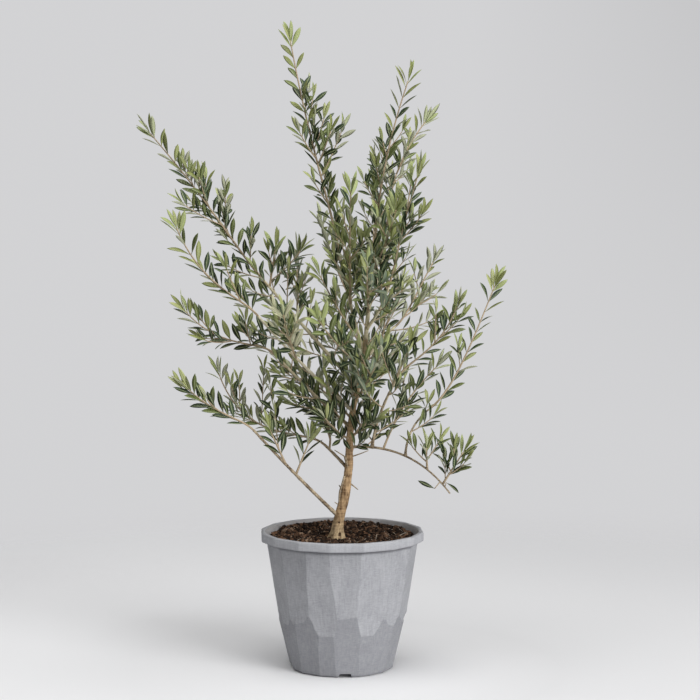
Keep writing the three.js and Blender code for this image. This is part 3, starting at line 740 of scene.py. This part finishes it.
def straights(lines):  # the starts and ends of the straight pieces between their points
    return np.concatenate([line[:-1] for line in lines]), np.concatenate([line[1:] for line in lines])


def radiiOf(limb, steps):
    return np.array([limb["radiusAt"](i / steps) for i in range(steps + 1)])


limbStarts, limbEnds = straights([limb["line"].spaced(limb["steps"]) for limb in limbs.values()])
limbFeet, limbTips = straights([radiiOf(limb, limb["steps"]) for limb in limbs.values()])
stems = [(shoot["index"], line.spaced(steps)) for shoot in shoots.values()
         for line, steps in [(shoot["line"], 12)] + [(fork, 6) for _, fork in shoot["forkLines"]]]
shootStarts, shootEnds = straights([points for _, points in stems])
shootOwners = np.concatenate([[index] * (len(points) - 1) for index, points in stems])


def distancesTo(points, starts, ends):
    along = ends - starts
    offset = points[:, None, :] - starts[None]
    part = np.clip((offset * along).sum(2) / (along * along).sum(1), 0, 1)
    return np.linalg.norm(offset - part[..., None] * along, axis=2), part


def clearOfLimbs(points, clearance):
    far, part = distancesTo(points, limbStarts, limbEnds)
    return (far - blendOf(limbFeet, limbTips, part)).min() > clearance


def inOwnSpace(points, shoot, margin):  # nearer to its own shoot's stems than to any other
    far = distancesTo(points, shootStarts, shootEnds)[0]
    mine = shootOwners == shoot["index"]
    return bool((far[:, ~mine].min(1) > far[:, mine].min(1) + margin).all())


def isFree(points, shoot):
    return clearOfLimbs(points, growth["limbClearance"]) and inOwnSpace(points, shoot, growth["spaceMargin"])


def sideways(along, turn):  # square to a line, turned round it from level
    level = np.cross(along, (0, 0, 1))
    if np.linalg.norm(level) < 0.05:
        level = np.array((1.0, 0, 0))
    level = unit(level)
    return level * math.cos(turn) + unit(np.cross(level, along)) * math.sin(turn)


def twigLine(start, along, turn, opening, length):  # straight at first, then rising
    aim = along * math.cos(opening) + sideways(along, turn) * math.sin(opening)
    middle = start + aim * length / 2
    aim = unit(aim + np.array((0, 0, growth["twigLift"])))
    return bezier(start, middle, middle + aim * length / 2)


def sideTwigs(shoot):  # the same draws as in the solids
    draw = makeRandom(shoot["seed"])
    twigs = list(shoot["forkLines"])
    for index in range(shoot["twigs"]):
        part = blendOf(*growth["twigZone"], (index + draw() * 0.6) / shoot["twigs"])
        turn = (index % 2) * math.pi + (draw() - 0.3) * growth["twigTurnSpread"]
        opening = math.radians(blendOf(*growth["twigOpening"], draw()))
        length = growth["twigLength"] * blendOf(*growth["twigSizes"], draw()) * blendOf(*growth["twigTaper"], part)
        twigs.append((part, twigLine(shoot["line"].at(part), shoot["line"].heading(part), turn, opening, length)))
    return [(part, line) for part, line in twigs if isFree(line.spaced(6)[1:], shoot)]


# trunk and boughs
bark = {
    "trunkSpacing": 1.3, "trunkRoundness": 20, "footDepth": 9, "darkWoodShadeFrom": -1.9,
    "ridges": 0.5, "ridgeScale": (2.2, 45), "waves": [(1, 28, 3.1, 0.7), (0.5, 190, 8.4, 0.35)],
    "boughSpacing": 5, "boughRoundness": 4, "grain": (420, 0.16), "collar": 1.6, "collarReach": 7,
    "jointEvery": 21, "jointSwell": 0.16, "slim": {"low_right": 0.7, "right_climber": 0.75},
}
trunkMarks = [  # height, turn (front is -90), reach round it in degrees, reach up it and depth in mm
    (271, -82, 9, 1.7, -2.6),    # knot hole
    (268, -95, 75, 1.0, -0.9),   # groove round it
    (264, -95, 75, 2.2, 0.7),
    (249, -66, 6, 9.0, -3.2),    # split in the foot
    (249, -40, 13, 11.0, 2.0),   # root beside it
    (243, -120, 18, 7.0, 1.8),
    (374, -78, 38, 9.0, 1.7),    # collars under the lowest boughs
    (405, -25, 45, 6.0, 1.6),
    (316, -60, 30, 6.0, 0.9),
    (296, -130, 26, 5.0, 0.8),
]
trunkStrands = [  # places (height, turn, how far off the bark) and the thickness at both ends
    ([(354, 214, -0.6), (339, 204, 1.4), (325, 196, 2.9), (304, 208, -0.6)], 2.1, 1.9),  # peeled strip
    ([(388, 205, 0.4), (377, 240, 0.9), (363, 296, -1.4)], 3.0, 1.3),  # tail of the collar
    ([(339, -10, -1), (334, -8, 6.5), (329, -12, 14)], 1.5, 0.8),
    ([(302, 205, -1), (304, 203, 4), (307, 202, 9)], 1.2, 0.7),
    ([(387, 200, -1), (393, 197, 8), (401, 195, 21)], 1.4, 0.8),
    ([(389, -25, -1), (394, -22, 13), (401, -20, 30)], 1.4, 0.7),
    ([(330, 165, -1), (333, 163, 4), (336, 162, 7)], 1.3, 0.8),
    ([(352, 70, -1), (356, 72, 5), (360, 75, 8)], 1.3, 0.8),
    ([(420, 60, -1), (424, 60, 5), (428, 60, 9)], 1.2, 0.8),
]


def tubeMesh(lines, roundness):  # lines are (points, radii, finish number), in millimetres
    curve = bpy.data.curves.new("tubes", "CURVE")
    curve.dimensions = "3D"
    curve.bevel_depth = 1.0
    curve.bevel_resolution = roundness
    curve.use_fill_caps = True
    for points, radii, finish in lines:
        spline = curve.splines.new("POLY")
        spline.points.add(len(points) - 1)
        spline.points.foreach_set("co", np.c_[np.array(points) * mm, np.ones(len(points))].ravel())
        spline.points.foreach_set("radius", np.array(radii) * mm)
        spline.material_index = finish
        spline.use_smooth = True
    mesh = evaluated(addObject("tubes", curve))
    bm = bmesh.new()
    bm.from_mesh(mesh)
    bmesh.ops.remove_doubles(bm, verts=bm.verts[:], dist=1e-7)
    turnOut(bm)
    bm.to_mesh(mesh)
    bm.free()
    return mesh


def trunkSwell(part, angle, z):  # how far the bark stands out there, and how deep the deepest hollow is
    around, up = bark["ridgeScale"]
    where = Vector((math.cos(angle) * around, math.sin(angle) * around, z * up))
    swell = trunkFlare(part, angle) + noise.fractal(where * 1.7, 0.9, 2.1, 4) * bark["ridges"]
    for turnScale, heightScale, phase, depth in bark["waves"]:
        swell += noise.noise(Vector((angle * turnScale, z * heightScale, phase))) * depth
    hollow = 0
    for level, turn, reach, tall, depth in trunkMarks:
        off = ((math.degrees(angle) - turn + 180) % 360 - 180) / reach
        mark = depth * math.exp(-off * off - ((z / mm - level) / tall) ** 2)
        swell += mark
        hollow = min(hollow, mark)
    return swell, hollow


def makeTrunk():
    line = limbs["trunk"]["line"]
    count = int(line.length / bark["trunkSpacing"])
    points = line.spaced(count)
    mesh = tubeMesh([(points, radiiOf(limbs["trunk"], count), 0)], bark["trunkRoundness"])
    centres = points * mm
    floorLevel = (soilLevel - bark["footDepth"]) * mm
    bm = bmesh.new()
    bm.from_mesh(mesh)
    hollows = {}
    for vert in bm.verts:
        nearest = int(np.argmin(((centres - np.array(vert.co)) ** 2).sum(1)))
        out = vert.co - Vector(centres[nearest])
        if nearest == 0:  # the foot goes on down into the soil
            vert.co.z = floorLevel
        if out.length < 1e-6:
            continue
        swell, hollows[vert] = trunkSwell(nearest / count, math.atan2(out.y, out.x), vert.co.z)
        vert.co = vert.co + out.normalized() * swell * mm
        vert.co.z = max(vert.co.z, floorLevel)
    turnOut(bm)
    for face in bm.faces:
        face.smooth = True
        # faces deep in the hollows get the dark wood finish: partly the wood's own colour, partly painted shade
        face.material_index = int(min(hollows.get(vert, 0) for vert in face.verts) < bark["darkWoodShadeFrom"])
    mesh.clear_geometry()
    bm.to_mesh(mesh)
    bm.free()
    addPiece("trunkBark", mesh, [barkFinishes["trunkBark"], darkWoodShadeFinish], "bark", "trunk")


def boughRadii(name, count):  # with the swellings of old leaf joints and a collar at the foot
    limb, slim = limbs[name], bark["slim"].get(name, 1)
    radii = radiiOf(limb, count)
    spacing = limb["line"].length / count
    for i in range(count + 1):
        run = i * spacing
        joint = bark["jointSwell"] * max(0, math.cos(2 * math.pi * run / bark["jointEvery"])) ** 8
        collar = bark["collar"] * math.exp(-run / bark["collarReach"]) if limb["at"] < 1 else 0
        radii[i] = radii[i] * (1 + joint) * slim + collar
    return radii


def makeBoughs():
    scale, depth = bark["grain"]
    for name in boughs:
        line = limbs[name]["line"]
        count = int(line.length / bark["boughSpacing"])
        mesh = tubeMesh([(line.spaced(count), boughRadii(name, count), 0)], bark["boughRoundness"])
        bm = bmesh.new()
        bm.from_mesh(mesh)
        for vert in bm.verts:
            vert.co += vert.normal * (noise.fractal(vert.co * scale, 0.9, 2.1, 3) * depth * mm)
        bm.to_mesh(mesh)
        bm.free()
        finish = barkFinishes["creamBark" if name == "front_left" else "boughBark"]
        addPiece(f"bark_{name}", mesh, [finish], "bark", f"bough_{name}")


def onTrunk(height, turn, off):  # a place at a height and turn round the trunk, off its surface
    line = limbs["trunk"]["line"]
    points = line.spaced(200)
    index = int(np.argmin(abs(points[:, 2] - height)))
    angle = math.radians(turn)
    reach = trunkRadius(index / 200) + trunkFlare(index / 200, angle) + off
    return np.array((*(points[index, :2] + reach * np.array((math.cos(angle), math.sin(angle)))), height))


def makeStrands():  # a peeled strip, dead twigs and short stubs on the trunk
    lines = []
    for places, foot, tip in trunkStrands:
        points = smoothThrough([onTrunk(*place) for place in places]).spaced(12)
        lines.append((points, np.linspace(foot, tip, 13), 0))
    addPiece("trunkStrands", tubeMesh(lines, 3), [barkFinishes["boughBark"]], "bark")


makeTrunk()
makeBoughs()
makeStrands()
print("trunk and boughs made")


# leaves and twigs
leaf = {
    "length": 41.5, "width": 9.9, "endWidth": 0.76, "rows": 7, "thickness": 0.012, "ribWidth": 0.12,
    "stalk": 0.06, "stalkWidth": 0.09, "widest": 1.18, "fullness": 0.74, "fold": 0.07, "twist": 0.25,
    "clearance": 0.4, "checks": [(0.35, 0.9), (0.35, -0.9), (0.65, 0.8), (0.65, -0.8), (0.98, 0)],
    "bends": [(0.10, 0.5, 0.0), (0.22, 0.8, 0.3), (0.03, 1.0, -0.25), (0.34, 0.5, -0.5), (-0.08, 0.8, 0.45)],
}
spray = {
    "pairSpacing": 20, "bareFoot": 14, "stemRadius": 2.375, "tipRadius": 1.1, "stemSpacing": 9, "stemTaper": 0.8,
    "fineEvery": 34, "fineZone": (0.08, 0.64), "fineLength": 38, "fineOpening": (28, 48), "fineApart": 10,
    "limbEvery": 17, "limbTwig": 58, "limbOpening": (38, 64), "limbClearance": 2.5, "leafyHeight": 405,
    "leastRise": 4, "ownTwigs": ["right_climber"], "bareBoughs": ["front_left"],
    "mainSize": 1.0, "leafSizes": (0.8, 1.1), "endSizes": (0.9, 1.1), "droppedShare": 0.04, "drawsFrom": 500,
    "limbSeed": 97, "limbTurn": 2.4, "limbLengths": (0.6, 1.35), "fineLengths": (0.6, 1.3), "hidesWithin": 10,
    "opening": (55, 44), "openingSpread": 16, "fanTurn": 0.5, "turnSpread": 0.3,
    "light": (0.35, -0.90, 0.45), "lightReach": (0.35, 1.0), "rollSpread": 0.5, "backFrom": 60,
    "leafLift": 0.2, "underClose": 0.4, "underShade": 0.6,
    "tips": [(1, 0, 9), (1, math.pi, 9), (7, 1.4, 26), (7, 1.4 + math.pi, 26)], "tipSpread": 13,
    "youngFrom": 0.93, "youngShare": 0.7, "shortShoot": 150, "shortShade": 0.9, "longShade": 0.2, "limbShade": 1.1,
}
twigKinds = {  # steps, radius at foot and tip, bare share at the foot, spacing and size of leaves
    "side": (8, 1.3, 0.99, 0.16, 15, 0.88),
    "fine": (5, 1.04, 0.88, 0.2, 13.5, 0.80),
    "limb": (6, 1.3, 0.88, 0.22, 15, 0.88),
}
habits = {  # shoots unlike the rest: share of fine twigs, spread of leaf pairs, share of limb twigs
    "front_left": (0, 1.7, 1), "low_left": (0, 2.0, 0.4), "second_left": (0.4, 1.2, 1),
    "upper_left": (1, 0.9, 1), "mid_left": (0.4, 1.8, 1), "left_leader": (0.8, 0.85, 1),
    "upper_left_top": (1.6, 0.8, 1), "upper_left_back": (1.4, 0.85, 1), "front_left_inner": (1.4, 0.85, 1),
    "second_inner": (1.8, 0.85, 1),
    "right_climber": (0.2, 1, 0.35), "right_riser": (0.6, 1, 1), "outer_right": (0.4, 1.7, 1),
    "low_right_inner": (0, 1.4, 0), "low_right_tip": (2.5, 1, 1), "low_left_riser": (0, 1, 1),
    "low_left_inner": (0, 1.2, 0.3), "back_top_left": (0.3, 1, 0.5), "front_mid": (0.4, 1, 0.6),
    "back_mid": (0.2, 1.2, 0.6), "back_left": (1, 1, 0.7), "right_back": (0.4, 1.2, 1),
    "right_riser_inner": (0.8, 1, 0.8), "left_leader_front": (0, 1, 0.4), "front_high": (0.6, 1, 0.6),
}
casts = {  # shoots whose leaves lean to one colour, and how many of them do
    "front_left_inner": ("cream", 0.5), "front_low": ("frost", 0.5), "front_high": ("frost", 0.25),
    # the deep casts on trunk_right and trunk_left, inside the crown, are painted shade
    "centre_front": ("soft", 0.2), "low_right_tip": ("middle", 0.35), "trunk_right": ("deep", 0.5),
    "trunk_left": ("deep", 0.6), "second_inner": ("blue", 0.3),
}
hangingLeaves = {  # for a shoot: bough, part along it, stalk and leaf as reaches in mm
    "low_right_inner": [
        ("low_right", 0.87, (-10, -3, -12), (-32, -5, 9)), ("low_right", 0.93, (2, -5, 9), (21, -6, -20)),
    ],
}


def leafOutline(part):  # half the width, 0 to 1, from the stalk to the point
    if part < leaf["stalk"]:
        return leaf["stalkWidth"]
    blade = (part - leaf["stalk"]) / (1 - leaf["stalk"])
    return max(0.012, math.sin(math.pi * blade ** leaf["widest"]) ** leaf["fullness"])


def leafShape(arc, fold, twist):  # one leaf, 1 long and 1 across its half, lying along +X, face up
    bm = bmesh.new()
    bmesh.ops.create_grid(bm, x_segments=leaf["rows"], y_segments=3, size=1)
    for vert in bm.verts:
        part = ((vert.co.x + 1) / 2) ** 1.05
        side = math.copysign(1 if abs(vert.co.y) > 0.9 else leaf["ribWidth"], vert.co.y)
        vert.co = (part, side * leafOutline(part), 0)
    turnOut(bm)
    if bm.faces[:][0].normal.z < 0:
        bmesh.ops.reverse_faces(bm, faces=bm.faces[:])
    for face in bm.faces:
        face.material_index = 1 if abs(face.calc_center_median().y) < 0.01 else 0
    under = bmesh.ops.duplicate(bm, geom=bm.faces[:])["geom"]
    underFaces = [item for item in under if isinstance(item, bmesh.types.BMFace)]
    bmesh.ops.reverse_faces(bm, faces=underFaces)
    for face in underFaces:
        face.material_index = 2
    for vert in {v for face in underFaces for v in face.verts if not v.is_boundary}:
        vert.co.z -= leaf["thickness"]
    bmesh.ops.remove_doubles(bm, verts=bm.verts[:], dist=1e-5)
    for vert in bm.verts:  # a shallow fold along the rib, a bow along its length and a twist
        part, side, low = vert.co
        lift = fold * leaf["fold"] * abs(side) ** 1.3
        angle, across = twist * part, side * 0.5
        vert.co = (part - 0.12 * arc * arc * part ** 3, across * math.cos(angle),
                   low + lift - arc * part * part * 0.5 + across * math.sin(angle) * leaf["twist"])
    return arraysOf(bm)


leafShapes = [leafShape(*bend) for bend in leaf["bends"]]
print("leaf faces:", len(leafShapes[0][1]))


def leafPart(shape, basis, root, tint):  # one placed leaf's places, faces and finish numbers
    verts, faces, sides = leafShapes[shape]
    under = "underYoung" if tint == "young" else "under"
    slots = np.array([leafSlots.index(kind) for kind in (tint, "rib", under)])
    return (verts @ basis + root) * mm, faces, slots[sides]


def tintFor(draw, part, shade):  # darker in the shade, paler towards the tip
    if part > spray["youngFrom"]:
        return "young" if draw() < spray["youngShare"] - shade * 0.4 else "soft" if draw() < 0.55 else "olive"
    value = draw() * 3.0 + part * 1.5 - shade
    return ["deep", "blue", "middle", "olive", "soft"][int(min(max(value, 0), 4))]


def placeLeaf(draw, root, along, side, opening, scale, part, shade):
    length = leaf["length"] * scale
    under = max(0, -side[2])  # leaves under a slanting stem lie closer to it and turn less to the light
    opening *= 1 - spray["underClose"] * under
    direction = unit(along * math.cos(opening) + side * math.sin(opening) + np.array((0, 0, spray["leafLift"])))
    face = along * math.sin(opening) - side * math.cos(opening)
    face = unit(face - direction * (face @ direction))
    width = np.cross(face, direction)
    light = np.array(spray["light"])  # each leaf rolls part of the way to the light on its side of the plant
    if root[1] > spray["backFrom"] and draw() < 0.5:
        light[1] *= -1
    roll = math.atan2(width @ light, face @ light) * blendOf(*spray["lightReach"], draw())
    roll *= 1 - spray["underShade"] * under
    roll += (draw() - 0.5) * spray["rollSpread"] * 2
    width, face = (width * math.cos(roll) - face * math.sin(roll), face * math.cos(roll) + width * math.sin(roll))
    shape = int(draw() * len(leafShapes)) % len(leafShapes)
    tint = tintFor(draw, part, shade)
    half = leaf["width"] / 2
    checks = np.array([root + direction * length * p + width * half * w for p, w in leaf["checks"]])
    if not clearOfLimbs(checks, leaf["clearance"]):
        return None
    breadth = leaf["width"] * scale * (leaf["endWidth"] if part == 1 else 1)
    return shape, np.array([direction * length, width * breadth, face * length]), root, tint


def leavesAlong(draw, line, bare, spacing, size, shade):
    pairs = max(1, round(line.length * (1 - bare) / spacing))
    made = []
    for index in range(pairs):
        part = blendOf(bare, 1, (index + 0.35) / pairs)
        root, along = line.at(part), line.heading(part)
        turn = math.pi / 2 + (index % 2 - 0.5) * spray["fanTurn"] * 2 + (draw() - 0.5) * spray["turnSpread"] * 2
        opening = math.radians(blendOf(*spray["opening"], part) + (draw() - 0.5) * spray["openingSpread"])
        scale = size * blendOf(*spray["leafSizes"], draw())
        for turned in (turn, turn + math.pi):
            if draw() > spray["droppedShare"]:
                made.append(placeLeaf(draw, root, along, sideways(along, turned), opening, scale, part, shade))
    along, root = line.heading(1), line.at(1)
    turn = draw() * math.pi
    tips = spray["tips"] if size == spray["mainSize"] else spray["tips"][:2]  # a long shoot has a fuller tuft
    for back, offset, least in tips:
        turned = turn + offset
        opening = math.radians(least + spray["tipSpread"] * draw())
        scale = size * blendOf(*spray["endSizes"], draw())
        made.append(placeLeaf(draw, root - along * back, along, sideways(along, turned), opening, scale, 1, shade))
    return [one for one in made if one]


def fineTwigs(draw, shoot, share, others):  # from the axils between; the draws of their leaves come in between
    line = shoot["line"]
    count = int(line.length / spray["fineEvery"] * share)
    for index in range(count):
        part = blendOf(*spray["fineZone"], (index + 0.3 + 0.4 * draw()) / count)
        turn = draw() * 2 * math.pi
        length = spray["fineLength"] * blendOf(*spray["fineLengths"], draw())
        opening = math.radians(blendOf(*spray["fineOpening"], draw()))
        twig = twigLine(line.at(part), line.heading(part), turn, opening, length)
        apart = all(abs(part - other) * line.length > spray["fineApart"] for other in others)
        if apart and isFree(twig.spaced(4)[1:], shoot):
            yield twig


def growShoot(name, shoot):
    draw = makeRandom(shoot["seed"] + spray["drawsFrom"])
    line = shoot["line"]
    shade = spray["shortShade" if line.length < spray["shortShoot"] else "longShade"]
    fineShare, spread, limbShare = habits.get(name, (1, 1, 1))
    stemFoot = limbs[shoot["on"]]["radiusAt"](1) if shoot["at"] == 1 else spray["stemRadius"]
    count = max(4, int(line.length / spray["stemSpacing"]))
    radii = [blendOf(stemFoot, spray["tipRadius"], (i / count) ** spray["stemTaper"]) for i in range(count + 1)]
    twigs = [(line.spaced(count), radii, twigSlots.index("cane"))]
    bare = spray["bareFoot"] / line.length
    leaves = leavesAlong(draw, line, bare, spray["pairSpacing"], spray["mainSize"], shade)

    def grow(kind, twig, tint, twigShade, widen=1):
        steps, foot, tip, bare, spacing, size = twigKinds[kind]
        twigs.append((twig.spaced(steps), np.linspace(foot, tip, steps + 1), twigSlots.index(tint)))
        leaves.extend(leavesAlong(draw, twig, bare, spacing * widen, size, twigShade))

    sides = sideTwigs(shoot)
    for _, twig in sides:
        grow("side", twig, "cane" if draw() < 0.5 else "green", shade + 0.5, spread)
    for twig in fineTwigs(draw, shoot, fineShare, [part for part, _ in sides]):
        grow("fine", twig, "green", shade + 0.5)
    for bough, part, stalk, reach in hangingLeaves.get(name, []):
        start, length = limbs[bough]["line"].at(part), np.linalg.norm(reach)
        root, aim = start + np.array(stalk), np.array(reach) / length
        twigs.append((np.linspace(start, root, 3), [1.2, 0.9, 0.8], twigSlots.index("wood")))
        hanging = placeLeaf(draw, root, aim, sideways(aim, 0.4), 0, length / leaf["length"], 0.4, 1.5)
        leaves += [hanging] if hanging else []
    for twig in limbTwigs.get(name, []):
        if draw() <= limbShare:
            grow("limb", twig, "cane", spray["limbShade"])
    if name in casts:
        cast, share = casts[name]
        leaves = [(*one[:3], cast) if draw() < share else one for one in leaves]
    addPiece(f"twigs_{name}", tubeMesh(twigs, 1), twigFinishes.values(), "bark")
    mesh = joinedMesh([leafPart(*one) for one in leaves], True)
    addPiece(f"leaves_{name}", mesh, leafFinishes.values(), "foliage", f"foliage_{name}")
    return len(leaves), len(twigs)


def growFromLimbs():  # leafy twigs straight from the boughs and the upper trunk, each dealt to the nearest shoot
    draw = makeRandom(spray["limbSeed"])
    dealt = {}
    names = list(shoots)
    for name, limb in limbs.items():
        line = limb["line"]
        count = int(line.length / spray["limbEvery"])
        for index in range(count):
            part = (index + draw()) / count
            start, along = line.at(part), line.heading(part)
            turn = index * spray["limbTurn"] + draw()
            length = spray["limbTwig"] * blendOf(*spray["limbLengths"], draw())
            twig = twigLine(start, along, turn, math.radians(blendOf(*spray["limbOpening"], draw())), length)
            across, back, rise = twig.at(1) - start
            high = start[2] > spray["leafyHeight"] and rise > spray["leastRise"]
            hides = name in spray["bareBoughs"] and back < spray["hidesWithin"]
            if high and not hides and clearOfLimbs(twig.spaced(5)[2:], spray["limbClearance"]):
                near = distancesTo(twig.spaced(2), shootStarts, shootEnds)[0].min(0)
                owner = name if name in spray["ownTwigs"] else names[shootOwners[int(np.argmin(near))]]
                dealt.setdefault(owner, []).append(twig)
    return dealt


limbTwigs = growFromLimbs()
totals = np.array([growShoot(name, shoot) for name, shoot in shoots.items()]).sum(0)
print("leaves and twigs:", totals)


# soil
soil = {
    "edgeDrop": 0.002, "bowl": 0.003, "tilt": 0.005, "rise": 0.0005,
    "lumpScales": (46, 120), "lumps": 0.0034, "grit": 0.0026,
    "sizeBias": 1.8, "fullTurn": 6.28, "breadths": (0.35, 0.8), "depths": (0.5, 0.9), "raised": 0.15,
    "radius": soilBox[1].x - 0.0005, "rings": 64, "columns": 190, "edgeGap": 0.004, "trunkGap": 0.012,
}
litter = {  # shape, number, seed, sizes, finish numbers and how far each may tip
    "soilClods": ("clod", 2900, 61, (0.0010, 0.0056), [0, 0, 0, 0, 1, 1, 2], 3),
    "barkChips": ("chip", 1500, 62, (0.0010, 0.0054), [0, 0, 1, 1, 2, 2, 3], 2.0),
    "paleGrains": ("clod", 200, 64, (0.0006, 0.0014), [3, 4, 4], 3),
    "soilFibres": ("fibre", 520, 63, (0.003, 0.011), [2, 3, 3, 4, 4], 1.3),
}


def soilHeight(x, y):
    reach = math.hypot(x, y) / soil["radius"]
    lean = soil["tilt"] * y / soil["radius"] - soil["bowl"] * (1 - reach ** 2) - soil["edgeDrop"] * reach ** 6
    scale, fineScale = soil["lumpScales"]
    coarse = noise.noise(Vector((x * scale, y * scale, 0.4)))
    fine = noise.fractal(Vector((x * fineScale, y * fineScale, 2.2)), 0.8, 2.1, 4)
    return soilLevel * mm + lean + soil["lumps"] * coarse + soil["grit"] * fine + soil["rise"]


def makeSoil():
    radius = soil["radius"]
    bm = spunForm([(radius * i / soil["rings"], 0, 0) for i in range(soil["rings"] + 1)], soil["columns"])
    for vert in bm.verts:
        vert.co.z = soilHeight(vert.co.x, vert.co.y)
    skirt = bmesh.ops.extrude_edge_only(bm, edges=[e for e in bm.edges if e.is_boundary])["geom"]
    shrink = innerAt(0.02) / radius
    for vert in [v for v in skirt if isinstance(v, bmesh.types.BMVert)]:
        vert.co = (vert.co.x * shrink, vert.co.y * shrink, soilBox[0].z + 0.001)
    bmesh.ops.holes_fill(bm, edges=[e for e in bm.edges if e.is_boundary], sides=0)
    turnOut(bm)
    addPiece("soilBed", takeMesh(bm), [soilFinish], "soil", "soil")


def litterShape(kind):
    bm = bmesh.new()
    if kind == "clod":
        bmesh.ops.create_icosphere(bm, subdivisions=1, radius=1)
        for vert in bm.verts:
            vert.co *= 1 + 0.35 * noise.noise(vert.co * 2.3)
    elif kind == "chip":
        bmesh.ops.create_cube(bm, size=2)
        for vert in bm.verts:
            vert.co.x *= 1 - 0.35 * (vert.co.y > 0)
            vert.co.z *= 0.3
            vert.co.y *= 1 + 0.3 * (vert.co.x > 0)
    else:
        bmesh.ops.create_cone(bm, cap_ends=True, segments=4, radius1=0.05, radius2=0.035, depth=2)
        long = [e for e in bm.edges if abs(e.verts[0].co.z - e.verts[1].co.z) > 1]
        bmesh.ops.subdivide_edges(bm, edges=long, cuts=3)
        for vert in bm.verts:
            vert.co = (vert.co.z, vert.co.y + 0.18 * math.sin(vert.co.z * 2.4), vert.co.x)
    turnOut(bm)
    bmesh.ops.triangulate(bm, faces=bm.faces[:])
    return arraysOf(bm)[:2]


def scatter(name, kind, count, seed, sizes, finishes, flat):
    draw = makeRandom(seed)
    verts, faces = litterShape(kind)
    parts = []
    footX, footY = np.array(trunkKnots[0][:2]) * mm
    while len(parts) < count:
        turn, reach = draw() * 2 * math.pi, math.sqrt(draw()) * (soil["radius"] - soil["edgeGap"])
        x, y = math.cos(turn) * reach, math.sin(turn) * reach
        size = blendOf(*sizes, draw() ** soil["sizeBias"])
        if math.hypot(x - footX, y - footY) < soil["trunkGap"] or reach + size > soil["radius"]:
            draw()
            continue
        spin = Matrix.Rotation(draw() * soil["fullTurn"], 3, "Z") @ Matrix.Rotation((draw() - 0.5) * flat, 3, "X")
        spin = spin @ Matrix.Rotation((draw() - 0.5) * flat, 3, "Y")
        breadth, depth = blendOf(*soil["breadths"], draw()), blendOf(*soil["depths"], draw())
        stretch = np.array((1, breadth, depth)) * size
        place = np.array((x, y, soilHeight(x, y) + size * soil["raised"]))
        finish = finishes[int(draw() * len(finishes))]
        parts.append(((verts * stretch) @ np.array(spin).T + place, faces, np.full(len(faces), finish)))
    addPiece(name, joinedMesh(parts, False), chipFinishes.values(), "soil")


makeSoil()
for name, recipe in litter.items():
    scatter(name, *recipe)
print("soil made")
